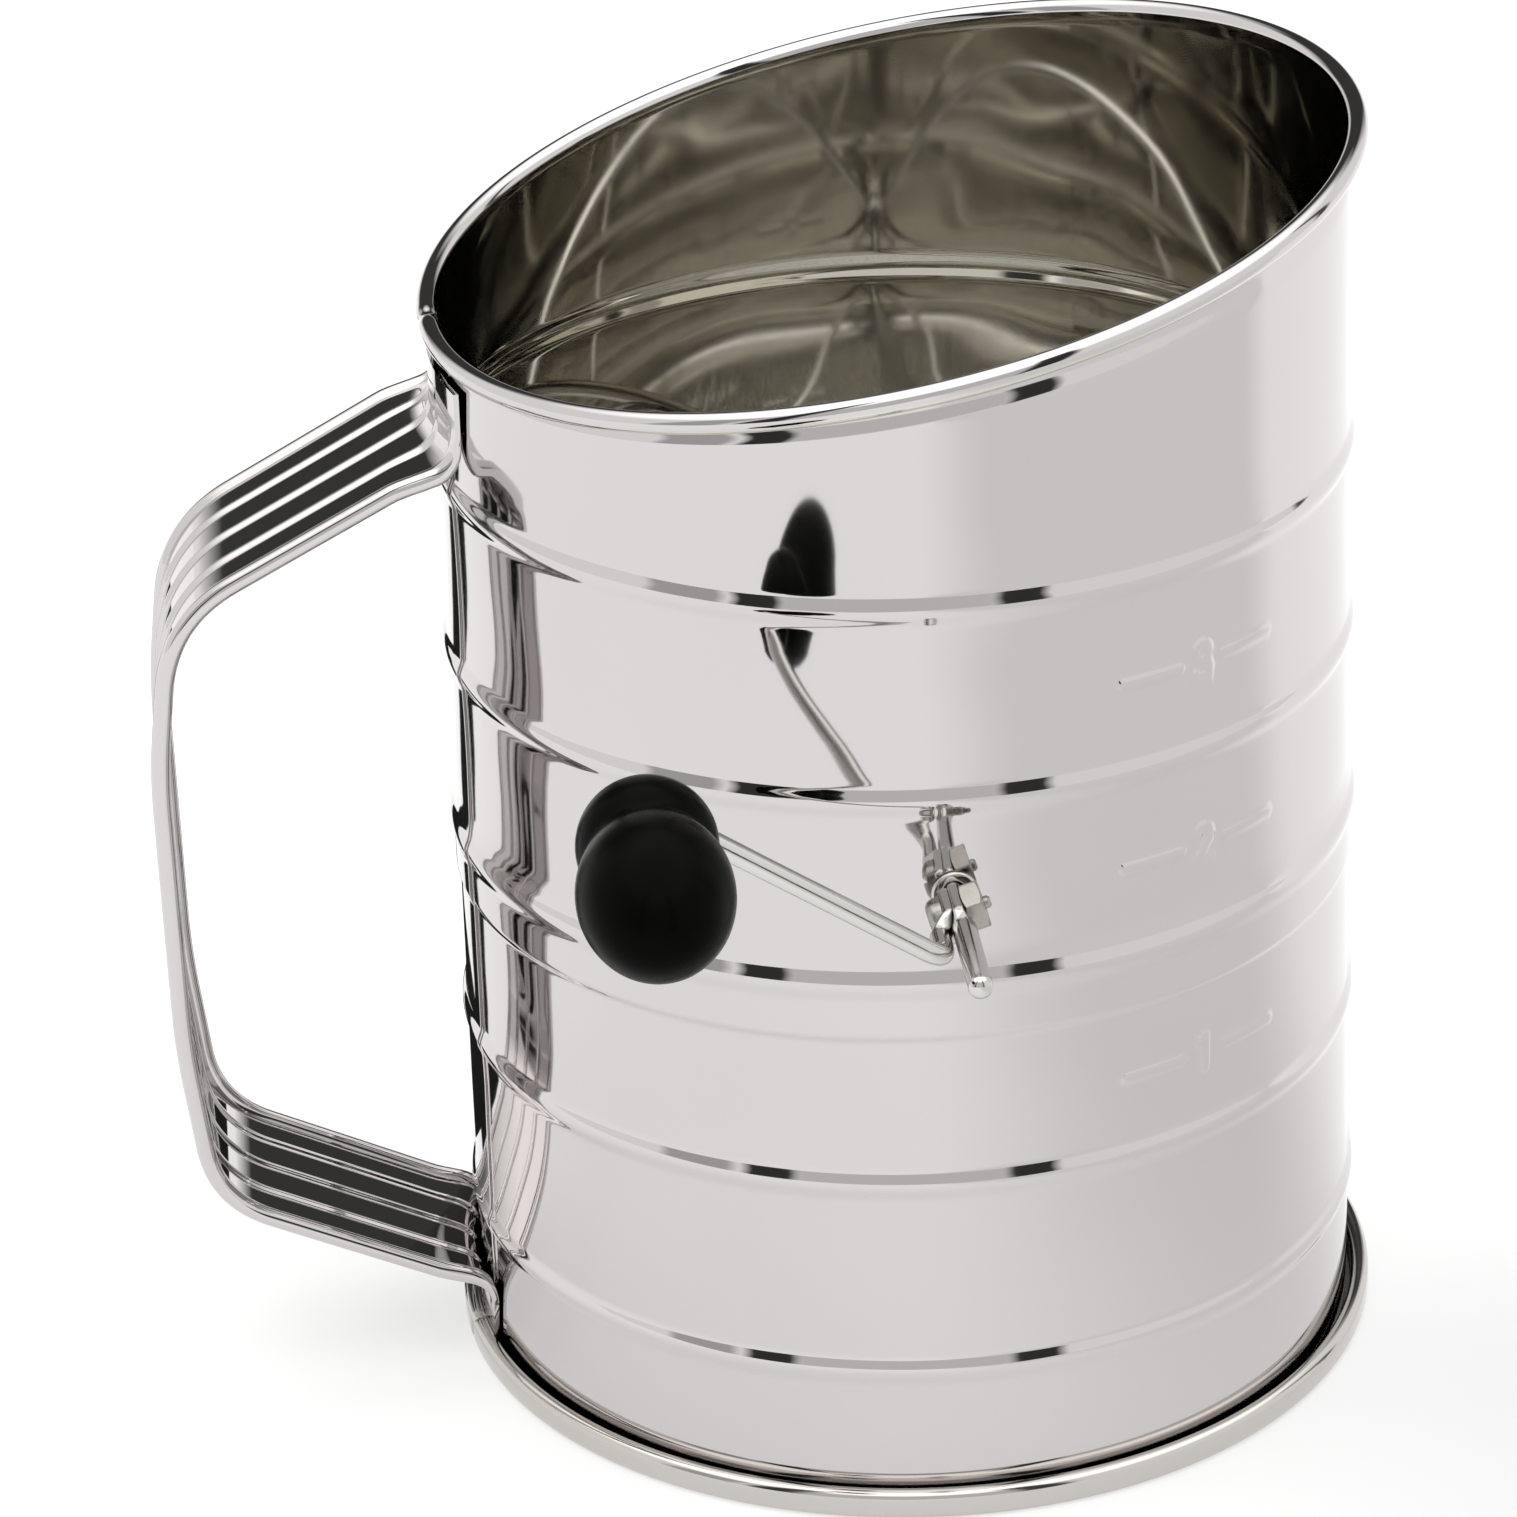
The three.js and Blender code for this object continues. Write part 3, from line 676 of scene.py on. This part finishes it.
def strap_path():
    """The strap's middle line in the X-Z plane, from the upper foot to the lower foot."""
    grip = -(STRAP_REACH - HEM_RADIUS)
    upper = -(float(wall_radius(128)) + 0.75)
    lower = -(float(wall_radius(8)) + 0.65)
    corners = [
        (upper, 0, 134.2),
        (upper, 0, 124.8),
        (grip + 2.6, 0, 106.8),
        (grip, 0, 86.3),
        (grip + 0.2, 0, 48.2),
        (grip + 2.7, 0, 26.2),
        (lower, 0, 11.1),
        (lower, 0, 2.4),
    ]
    return bent_path(corners, (3.1, 9.3, 5.4, 5.4, 7.6, 3.1), 0.8)


def handle():
    path = strap_path()
    section = strap_section()
    along = np.gradient(path, axis=0)
    along /= np.linalg.norm(along, axis=1, keepdims=True)
    outward = np.stack([along[:, 2], 0 * along[:, 0], -along[:, 0]], -1)
    length = np.concatenate([[0], np.cumsum(np.linalg.norm(np.diff(path, axis=0), axis=1))])
    from_top, from_bottom = length, length[-1] - length

    # the ribs and hems flatten out toward both welded feet, and the feet wrap the can
    flat = np.minimum(smoothstep(*UPPER_FOOT, from_top), smoothstep(*LOWER_FOOT, from_bottom))
    narrow = 1 + STRAP_TAPER * (0.5 - length / length[-1])
    narrow = narrow - 0.06 * (1 - smoothstep(0, 9, from_bottom))
    rows = []
    for point, out, keep, slim in zip(path, outward, flat, narrow):
        across = section[:, 0] * slim
        outer_side = section[:, 1] >= 0
        plain = np.where(outer_side, STRAP_SHEET / 2, -STRAP_SHEET / 2)
        rise = section[:, 1] * keep + plain * (1 - keep)
        near = 1 - smoothstep(*FOOT_WRAP, abs(point[0]))
        x = point[0] + (-np.sqrt(point[0] ** 2 - across ** 2) - point[0]) * near
        row = np.stack([x, across, np.full(len(across), point[2])], -1)
        rows.append(row + rise[:, None] * out)
    points = np.array(rows)
    faces = grid_faces(len(path), len(section), False, True).tolist()
    ring = list(range(len(section)))
    faces.append(ring)
    faces.append([(len(path) - 1) * len(section) + i for i in ring])
    made = add_mesh("handle", points, faces, POLISHED, sharp=50)
    return settle(made, "can", "polished_steel", "handle_strap")


# ---- Bearings ------------------------------------------------------------------------------

SHAFT_RADIUS = 1.45
SHAFT_HOLE = 1.6                         # radius of the holes that the shaft turns or sits in
SHAFT_AT = np.array([0, 0, SHAFT_Z])
EYELET_HOLE = 2.45
EYELET_BARREL = 2.15


def bushing(end, direction):
    """An eyelet clinched through the wall: a small flange outside, a wide rolled lip inside."""
    face = WALL_AT_SHAFT + 0.12
    inside = WALL_AT_SHAFT - SHEET
    outline = [(SHAFT_HOLE, inside - 1.3), (3.9, inside - 1.45), (4.2, inside - 1.1)]
    outline += [(4.0, inside - 0.6), (EYELET_BARREL, inside - 0.5)]
    outline += [(EYELET_BARREL, face), (2.8, face)]
    outline += arc(2.45, face + 0.1, 0.35, 0, 80, 5)
    outline += [(1.9, face + 0.45), (SHAFT_HOLE, face + 0.25)]
    made = revolve(f"{end}_eyelet", outline, SATIN, 64, SHAFT_AT, (0, direction, 0))
    return settle(made, "can", "ring_steel", f"{end}_bushing")


def thrust_washer(end, direction):
    low, high = (abs(in_can(c).y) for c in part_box(f"{end}_thrust_washer"))
    near, far = sorted((low, high))
    outline = [(1.7, near), (4.25, near), (4.4, near + 0.12), (4.4, far - 0.12), (4.25, far)]
    outline += [(1.7, far)]
    made = revolve(f"{end}_washer", outline, PLATED, 48, SHAFT_AT, (0, direction, 0))
    return settle(made, "can", "plated_hardware", f"{end}_thrust_washer")


# ---- Screen --------------------------------------------------------------------------------

SCREEN_RADIUS = 52.3
SCREEN_RIM_RADIUS = 49.3


def screen():
    """A woven bowl: two families of wires, each passing over and under the other."""
    points, faces = [], []
    sides = 5
    ring = np.arange(sides) * TAU / sides
    count = int(SCREEN_RIM_RADIUS / SCREEN_PITCH)
    offset = 0
    for family in (0, 1):
        for i in range(-count, count + 1):
            place = i * SCREEN_PITCH
            reach = math.sqrt(max(SCREEN_RIM_RADIUS ** 2 - place ** 2, 0))
            steps = max(int(2 * reach / (SCREEN_PITCH / 2)), 4)
            run = np.linspace(-reach, reach, steps)
            depth = np.sqrt(SCREEN_RADIUS ** 2 - place ** 2 - run ** 2)
            sphere = np.stack([np.full(steps, place), run, -depth], -1)
            outward = sphere / SCREEN_RADIUS
            weave = np.cos(math.pi * (run / SCREEN_PITCH + i + family))
            line = sphere + outward * SCREEN_WIRE * weave[:, None]
            tangent = np.gradient(line, axis=0)
            tangent /= np.linalg.norm(tangent, axis=1, keepdims=True)
            side = np.cross(tangent, outward)
            tube_points = line[:, None, :] + SCREEN_WIRE_RADIUS * (
                np.cos(ring)[None, :, None] * side[:, None, :]
                + np.sin(ring)[None, :, None] * outward[:, None, :])
            if family:
                tube_points = tube_points[:, :, [1, 0, 2]]
            points.append(tube_points.reshape(-1, 3))
            quads = grid_faces(steps, sides, False, True) + offset
            faces.extend(quads.tolist())
            faces.append([offset + k for k in range(sides)])
            faces.append([offset + (steps - 1) * sides + k for k in range(sides)])
            offset += steps * sides
    points = np.vstack(points) + SHAFT_AT
    made = add_mesh("woven_screen", points, faces, SCREEN, sharp=80)
    return settle(made, "can", "woven_screen", "screen_mesh")


def screen_rings():
    """Two rings that clamp the bowl's edge: a flat one below and an angle section above."""
    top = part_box("screen_ring_lower")[1].z / MM
    outline = [(49.6, top - 0.75), (50.0, top - 0.95), (54.4, top - 0.95), (54.7, top - 0.7)]
    outline += [(54.7, top), (49.6, top)]
    lower = revolve("screen_clamp_lower", outline, SATIN, 180)
    settle(lower, "can", "ring_steel", "screen_ring_lower")
    low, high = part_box("screen_ring_upper")
    foot, crown = low.z / MM, high.z / MM
    outline = [(49.4, top), (53.4, top), (53.6, foot), (54.9, foot), (54.95, crown - 0.3)]
    outline += [(54.7, crown), (54.3, crown), (54.1, crown - 0.3), (54.1, foot + 1.6)]
    outline += [(53.4, foot + 0.9), (50.2, foot + 0.9), (49.7, foot + 0.6), (49.5, foot)]
    upper = revolve("screen_clamp_upper", outline, SATIN, 180)
    settle(upper, "can", "ring_steel", "screen_ring_upper")


# ---- Agitator ------------------------------------------------------------------------------

BOW_RADIUS = 49.5
BOW_WIRE = 1.0
BOW_TRIM = 0.055                         # each end stops short of the shaft's axis, radians


def hub(end, direction):
    low, high = (abs(in_can(c).y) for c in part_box(f"{end}_hub"))
    near, far = sorted((low, high))
    outline = [(SHAFT_HOLE, near), (3.9, near), (4.5, near + 0.5)]
    outline += [(4.5, far - 0.5), (3.9, far), (SHAFT_HOLE, far)]
    made = revolve(f"{end}_collar", outline, PLATED, 64, SHAFT_AT, (0, direction, 0))
    return settle(made, "crank", "plated_hardware", f"{end}_hub")


def bow(number):
    """One agitator wire: a half circle from hub to hub, in the plane of its CAD node."""
    node = f"agitator_wire_{number}"
    centre = in_can(middle(node)) - Vector((0, 0, SHAFT_Z))
    spoke = Vector((centre.x, 0, centre.z)).normalized()
    turn = np.linspace(BOW_TRIM, math.pi - BOW_TRIM, 90)
    path = np.outer(-np.cos(turn), [0, 1, 0]) + np.outer(np.sin(turn), spoke)
    made = tube(f"agitator_bow_{number}", BOW_RADIUS * path + SHAFT_AT, BOW_WIRE, WIRE, 16)
    return settle(made, "crank", "steel_wire", node)


# ---- Crank ---------------------------------------------------------------------------------

CLAMP_TILT = math.radians(17)
CLAMP_AXIS = Vector((math.cos(CLAMP_TILT), 0, math.sin(CLAMP_TILT)))
CLAMP_OUT = 4.8
CLAMP_AT = Vector((0, -(WALL_AT_SHAFT + CLAMP_OUT), SHAFT_Z))
ARM_RADIUS = 1.3
SHAFT_FLAT = 1.2                         # thickness where the rod is hammered flat
ARM_FLAT = 1.2
FLAT_WIDTH = 4.6
FLAT_HALF_LENGTH = 3.4
FLAT_RUN = 1.3                           # from the flat back to the round rod
LAP = 0.05                               # slack between clamped pieces
ARM_FLAT_AT = -(SHAFT_FLAT / 2 + LAP + ARM_FLAT / 2)
ARM_TAIL_AT = -(SHAFT_RADIUS + 0.25 + ARM_RADIUS)
TIP_DOME = 0.7                           # height of a rod's domed tip, in its radii


def domed(rings, along_first, along_last, depth):
    """Rings of a rod with a dome of shrinking rings added at each end."""
    head, tail = [], []
    for t in np.radians([90, 72, 50, 25]):
        for ring, along, where in ((rings[0], along_first, head), (rings[-1], along_last, tail)):
            centre = ring.mean(0)
            where.append(centre + (ring - centre) * math.cos(t) + along * depth * math.sin(t))
    return np.array(head + list(rings) + tail[::-1])


def swaged(name, path, radius, flat_middle, thickness, shift, material):
    """A round rod along a path, hammered flat across the clamp at one distance along -Y."""
    path = np.asarray(path, float)
    along, side, up = carried_frames(path)
    turn = np.arange(32) * TAU / 32
    across = np.array(CLAMP_AXIS)
    broad = np.cross(across, [0.0, 1.0, 0.0])
    rings = []
    for point, s, u in zip(path, side, up):
        away = abs(-point[1] - flat_middle)
        keep = 1 - smoothstep(FLAT_HALF_LENGTH - FLAT_RUN / 2, FLAT_HALF_LENGTH + FLAT_RUN, away)
        circle = radius * (np.cos(turn)[:, None] * s + np.sin(turn)[:, None] * u)
        a, b = circle @ across, circle @ broad
        squash_a = np.sign(a) * np.minimum(np.abs(a) * 1.3, thickness / 2) + shift
        squash_b = b * FLAT_WIDTH / (2 * radius)
        pressed = np.outer(squash_a, across) + np.outer(squash_b, broad)
        rings.append(point + circle * (1 - keep) + pressed * keep)
    rings = domed(np.array(rings), -along[0], along[-1], radius * TIP_DOME)
    return add_mesh(name, rings, grid_faces(len(rings), 32, False, True), material, sharp=60)


def shaft():
    front, rear = (-in_can(c).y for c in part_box("agitator_shaft"))
    dome = SHAFT_RADIUS * TIP_DOME
    steps = np.linspace(rear + dome, front - dome, 300)
    path = np.stack([0 * steps, -steps, 0 * steps + SHAFT_Z], -1)
    made = swaged("crank_shaft", path, SHAFT_RADIUS, -CLAMP_AT.y, SHAFT_FLAT, 0, WIRE)
    return settle(made, "crank", "steel_wire", "agitator_shaft")


SPINDLE_AT = in_can(joint("knob_spin")["pos_m"])
SPINDLE = Vector(joint("knob_spin")["axis"]).normalized()
SPINDLE_LENGTH = 22.0


def crank_arm():
    tail = Vector((0, SPINDLE_AT.y, SHAFT_Z)) + CLAMP_AXIS * ARM_TAIL_AT
    back = Vector((tail.x, CLAMP_AT.y + FLAT_HALF_LENGTH - ARM_RADIUS * TIP_DOME, tail.z))
    corners = [SPINDLE_AT + SPINDLE * SPINDLE_LENGTH, SPINDLE_AT, tail, back]
    path = bent_path(corners, (2.8, 2.8), 0.4)
    shift = ARM_FLAT_AT - ARM_TAIL_AT
    made = swaged("crank_wire", path, ARM_RADIUS, -CLAMP_AT.y, ARM_FLAT, shift, WIRE)
    return settle(made, "crank", "steel_wire", "crank_arm")


HEAD_RADIUS = 2.45
HEAD_HEIGHT = 1.9
NUT_FLATS = 5.5
NUT_THICKNESS = 2.3
NUT_BORE = 0.8
NUT_SIDES = 144
SCREW_SHANK = 0.75
SCREW_SPARE = 0.8                        # of the shank, beyond the nut
SLOT = (1.3, 7, 0.7)                     # deep both ways from the head's top, long, wide
SLOT_TURN = math.radians(35)


def screw():
    """A slotted pan-head screw across the shaft."""
    face = -(ARM_FLAT_AT - ARM_FLAT / 2)
    tip = SHAFT_FLAT / 2 + LAP + NUT_THICKNESS + SCREW_SPARE
    outline = [(0, -tip), (0.5, -tip), (SCREW_SHANK, -tip + 0.3), (SCREW_SHANK, face),
               (HEAD_RADIUS, face)]
    outline += arc(HEAD_RADIUS - 1.1, face + HEAD_HEIGHT - 1.1, 1.1, 0, 82, 8)
    outline += [(0, face + HEAD_HEIGHT + 0.05)]
    made = revolve("clamp_screw", outline, PLATED, 64, CLAMP_AT, -CLAMP_AXIS)
    slot = bpy.data.meshes.new("slot")
    work = bmesh.new()
    bmesh.ops.create_cube(work, size=1)
    work.to_mesh(slot)
    work.free()
    cutter = bpy.data.objects.new("slot", slot)
    bpy.context.scene.collection.objects.link(cutter)
    cutter.matrix_world = (
        Matrix.Translation(AXIS + (CLAMP_AT - CLAMP_AXIS * (face + HEAD_HEIGHT)) * MM)
        @ Matrix.Rotation(-CLAMP_TILT, 4, "Y")
        @ Matrix.Rotation(SLOT_TURN, 4, "X")
        @ Matrix.Diagonal((*(Vector(SLOT) * MM), 1)))
    cut = made.modifiers.new("slot", "BOOLEAN")
    cut.operation = "DIFFERENCE"
    cut.object = cutter
    applied(made)
    bpy.data.objects.remove(cutter)
    made.data.set_sharp_from_angle(angle=math.radians(35))
    return settle(made, "crank", "plated_hardware", "crank_screw")


def nut():
    """A hexagon nut with turned chamfers on both faces."""
    flats, thickness, bore = NUT_FLATS, NUT_THICKNESS, NUT_BORE
    start = SHAFT_FLAT / 2 + LAP
    turn = np.arange(NUT_SIDES) * TAU / NUT_SIDES
    hexagon = flats / 2 / np.cos((turn % (TAU / 6)) - TAU / 12)
    hexagon = np.minimum(hexagon, flats / 2 * 1.135)
    face = flats / 2 * 0.965
    drop = (hexagon - face) * math.tan(math.radians(30))
    level = np.ones_like(turn)
    rows = [
        (bore * level, 0.35 * level), ((bore + 0.35) * level, 0 * level), (face * level, 0 * level),
        (hexagon, drop), (hexagon, thickness - drop), (face * level, thickness * level),
        ((bore + 0.35) * level, thickness * level), (bore * level, (thickness - 0.35) * level),
    ]
    rings = [np.stack([r * np.cos(turn), r * np.sin(turn), h + start], -1) for r, h in rows]
    matrix, origin = frame_for(CLAMP_AT, CLAMP_AXIS)
    points = np.array(rings) @ matrix.T + origin
    faces = grid_faces(len(rows), NUT_SIDES, True, True)
    made = add_mesh("clamp_nut", points, faces, PLATED, sharp=20)
    return settle(made, "crank", "plated_hardware", "crank_nut")


CAP_DOME = 2.9


def rear_cap():
    """A pressed acorn cap over the shaft's rear end."""
    near, far = sorted(abs(in_can(c).y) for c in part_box("rear_cap"))
    outline = [(SHAFT_HOLE, near + 0.2), (3.0, near), (3.4, near + 0.3)]
    outline += [(3.4, near + 1.2), (3.0, near + 1.6)]
    outline += [(CAP_DOME * math.cos(t), far - CAP_DOME + CAP_DOME * math.sin(t))
                for t in np.radians([5, 25, 45, 65, 80])]
    outline += [(0, far), (0, far - 1.0), (SHAFT_HOLE, far - 1.2)]
    made = revolve("acorn_cap", outline, PLATED, 64, SHAFT_AT, (0, 1, 0))
    return settle(made, "crank", "plated_hardware", "rear_cap")


# ---- Knob ----------------------------------------------------------------------------------

BULBS = ((10.4, 8.0, 8.0), (22.6, 12.3, 8.8))    # centre along the spindle, half length, radius
KNOB_START = 1.8
MOUTH_RADIUS = 4.6
WAIST_BLEND = 14.0                       # high: a sharp crease between the bulbs


def knob():
    """Two polished bulbs run together at a narrow waist."""
    end = BULBS[1][0] + BULBS[1][1]
    swing = np.linspace(0, math.pi, 200)
    run = KNOB_START + (end - KNOB_START) * (1 - np.cos(swing)) / 2
    total = np.zeros_like(run)
    for centre, half, radius in BULBS:
        bulge = radius * np.sqrt(np.maximum(1 - ((run - centre) / half) ** 2, 0))
        total += bulge ** WAIST_BLEND
    mouth = MOUTH_RADIUS * (1 - smoothstep(KNOB_START + 1.5, KNOB_START + 3, run))
    total += mouth ** WAIST_BLEND
    radius = total ** (1 / WAIST_BLEND)
    radius[-1] = 0
    radius[0] = MOUTH_RADIUS - 0.4
    outline = [(1.5, KNOB_START + 0.3), (1.8, KNOB_START)] + list(zip(radius, run))
    outline += [(0, SPINDLE_LENGTH + 2.2), (1.5, SPINDLE_LENGTH + 1.8)]
    made = revolve("knob_two_bulb", outline, BLACK, 128, SPINDLE_AT, SPINDLE, sharp=40)
    return settle(made, "knob", "black_plastic", "knob")


# ---- Studio --------------------------------------------------------------------------------

CAMERA_AZIMUTH = math.radians(-4.4)
CAMERA_ELEVATION = math.radians(25.54)
CAMERA_ROLL = math.radians(-2.11)
CAMERA_DISTANCE = 0.7543
CAMERA_AIM = (-17.96, 75.46)             # to the right of the can's axis, and up, millimetres
LENS = 143.2


def camera():
    a, e = CAMERA_AZIMUTH, CAMERA_ELEVATION
    back = Vector((math.sin(a) * math.cos(e), -math.cos(a) * math.cos(e), math.sin(e)))
    right = Vector((math.cos(a), math.sin(a), 0))
    up = back.cross(right)
    aim = AXIS + (right * CAMERA_AIM[0] + Vector((0, 0, CAMERA_AIM[1]))) * MM
    rolled_right = math.cos(CAMERA_ROLL) * right + math.sin(CAMERA_ROLL) * up
    rolled_up = math.cos(CAMERA_ROLL) * up - math.sin(CAMERA_ROLL) * right
    data = bpy.data.cameras.new("camera")
    data.lens = LENS
    data.sensor_width = 36
    made = bpy.data.objects.new("camera", data)
    turn = Matrix((rolled_right, rolled_up, back)).transposed().to_4x4()
    made.matrix_world = Matrix.Translation(aim + back * CAMERA_DISTANCE) @ turn
    bpy.context.scene.collection.objects.link(made)
    bpy.context.scene.camera = made


FLOOR_HALF = 4.0                         # metres


def floor():
    data = bpy.data.meshes.new("floor")
    half = FLOOR_HALF
    data.from_pydata([(-half, -half, 0), (half, -half, 0), (half, half, 0), (-half, half, 0)],
                     [], [(0, 1, 2, 3)])
    data.materials.append(floor_white())
    made = bpy.data.objects.new("floor", data)
    bpy.context.scene.collection.objects.link(made)


FELT_CORNERS = (                         # on the floor, millimetres from the can's axis
    ((-64.8, 7.1), (-260.5, 332.9), (-184.7, 368.2), (-61.0, 8.9)),
    ((-100.0, 45.0), (-58.0, 45.0), (25.0, 180.0), (-45.0, 190.0)),
)
FELT_LIFT = 0.3


def dark_felt():
    """Black felt behind the can, seen only in the can's left side and the handle's reflection."""
    corners = FELT_CORNERS[0] + FELT_CORNERS[1]
    points = [AXIS + Vector((*corner, FELT_LIFT)) * MM for corner in corners]
    data = bpy.data.meshes.new("dark_felt")
    data.from_pydata(points, [], [(0, 1, 2, 3), (4, 5, 6, 7)])
    material, tree, shader = node_material("black_felt")
    tint = ramp(tree, noise(tree, 300, 3), (0.008, 0.008, 0.008), (0.015, 0.015, 0.015))
    tree.links.new(tint, shader.inputs["Base Color"])
    shader.inputs["Roughness"].default_value = 1.0
    shader.inputs["Specular IOR Level"].default_value = 0.0
    data.materials.append(material)
    made = bpy.data.objects.new("dark_felt", data)
    bpy.context.scene.collection.objects.link(made)
    made.visible_camera = False
    made.visible_shadow = False
    made.visible_diffuse = False


def world_value(tree, kind, *sources, clamp=False):
    node = tree.nodes.new("ShaderNodeMath")
    node.operation = kind
    node.use_clamp = clamp
    for socket, source in zip(node.inputs, sources):
        if isinstance(source, (int, float)):
            socket.default_value = source
        else:
            tree.links.new(source, socket)
    return node.outputs[0]


def dimmed(tree, light, mask, depth):
    """The light, less this share of it where the mask is 1."""
    return world_value(tree, "MULTIPLY", light, world_value(tree, "MULTIPLY_ADD", mask, -depth, 1))


def band(tree, value, low, high, soft):
    """1 between low and high, 0 outside, with soft edges; all in radians."""
    rise = world_value(tree, "DIVIDE", world_value(tree, "SUBTRACT", value, low - soft), 2 * soft,
                       clamp=True)
    fall = world_value(tree, "DIVIDE", world_value(tree, "SUBTRACT", high + soft, value), 2 * soft,
                       clamp=True)
    return world_value(tree, "MULTIPLY", rise, fall)


DARK_CARDS = (                           # azimuth from -Y toward +X, elevation, depth; degrees
    ((17.5, 29.5), (-2, 60), 0.96),
    ((-46.5, -34.5), (-2, 60), 0.96),
    ((-68, -50), (-2, 40), 0.5),
    ((-34, 17), (0, 42), 0.3),
    ((105, 111), (-2, 40), 0.9),
)
BACK_DARK = (35, (5, 36), 0.95)          # half width round +Y: the unlit room behind the table
CARD_SOFT = math.radians(1.5)            # soft edges of the cards, and of the room in both ways
ROOM_SOFT = (0.12, 0.08)
HORIZON_LIGHT = 1.05
TOP_LIGHT = 2.1
TOP_EDGE = 46                            # degrees


def studio():
    """White tent light: bright overhead, dark gaps in front and a dark room behind."""
    world = bpy.data.worlds.new("studio")
    bpy.context.scene.world = world
    world.use_nodes = True
    tree = world.node_tree
    background = tree.nodes["Background"]
    coordinates = tree.nodes.new("ShaderNodeTexCoord")
    parts = tree.nodes.new("ShaderNodeSeparateXYZ")
    tree.links.new(coordinates.outputs["Generated"], parts.inputs[0])
    x, y, z = parts.outputs
    elevation = world_value(tree, "ARCSINE", z)
    azimuth = world_value(tree, "ARCTAN2", x, world_value(tree, "MULTIPLY", y, -1))
    overhead = band(tree, elevation, math.radians(TOP_EDGE), math.pi, math.radians(8))
    light = world_value(tree, "MULTIPLY_ADD", overhead, TOP_LIGHT - HORIZON_LIGHT, HORIZON_LIGHT)
    for (a0, a1), (e0, e1), depth in DARK_CARDS:
        card = world_value(tree, "MULTIPLY",
                           band(tree, azimuth, math.radians(a0), math.radians(a1), CARD_SOFT),
                           band(tree, elevation, math.radians(e0), math.radians(e1), CARD_SOFT))
        light = dimmed(tree, light, card, depth)
    half, (e0, e1), depth = BACK_DARK
    behind = world_value(tree, "ARCTAN2", x, y)
    room = world_value(tree, "MULTIPLY",
                       band(tree, behind, -math.radians(half), math.radians(half), ROOM_SOFT[0]),
                       band(tree, elevation, math.radians(e0), math.radians(e1), ROOM_SOFT[1]))
    light = dimmed(tree, light, room, depth)
    rays = tree.nodes.new("ShaderNodeLightPath")
    seen = world_value(tree, "MAXIMUM", light, rays.outputs["Is Camera Ray"])
    tree.links.new(seen, background.inputs["Strength"])
    background.inputs["Color"].default_value = (1.0, 0.995, 0.985, 1)
    bpy.context.scene.view_settings.view_transform = "Standard"


def build():
    can_body()
    rim_wire()
    base_ring()
    handle()
    screen()
    screen_rings()
    for end, direction in (("front", -1), ("rear", 1)):
        bushing(end, direction)
        thrust_washer(end, direction)
        hub(end, direction)
    for number in (1, 2, 3, 4):
        bow(number)
    shaft()
    crank_arm()
    screw()
    nut()
    rear_cap()
    knob()


camera()
studio()
floor()
dark_felt()
build()
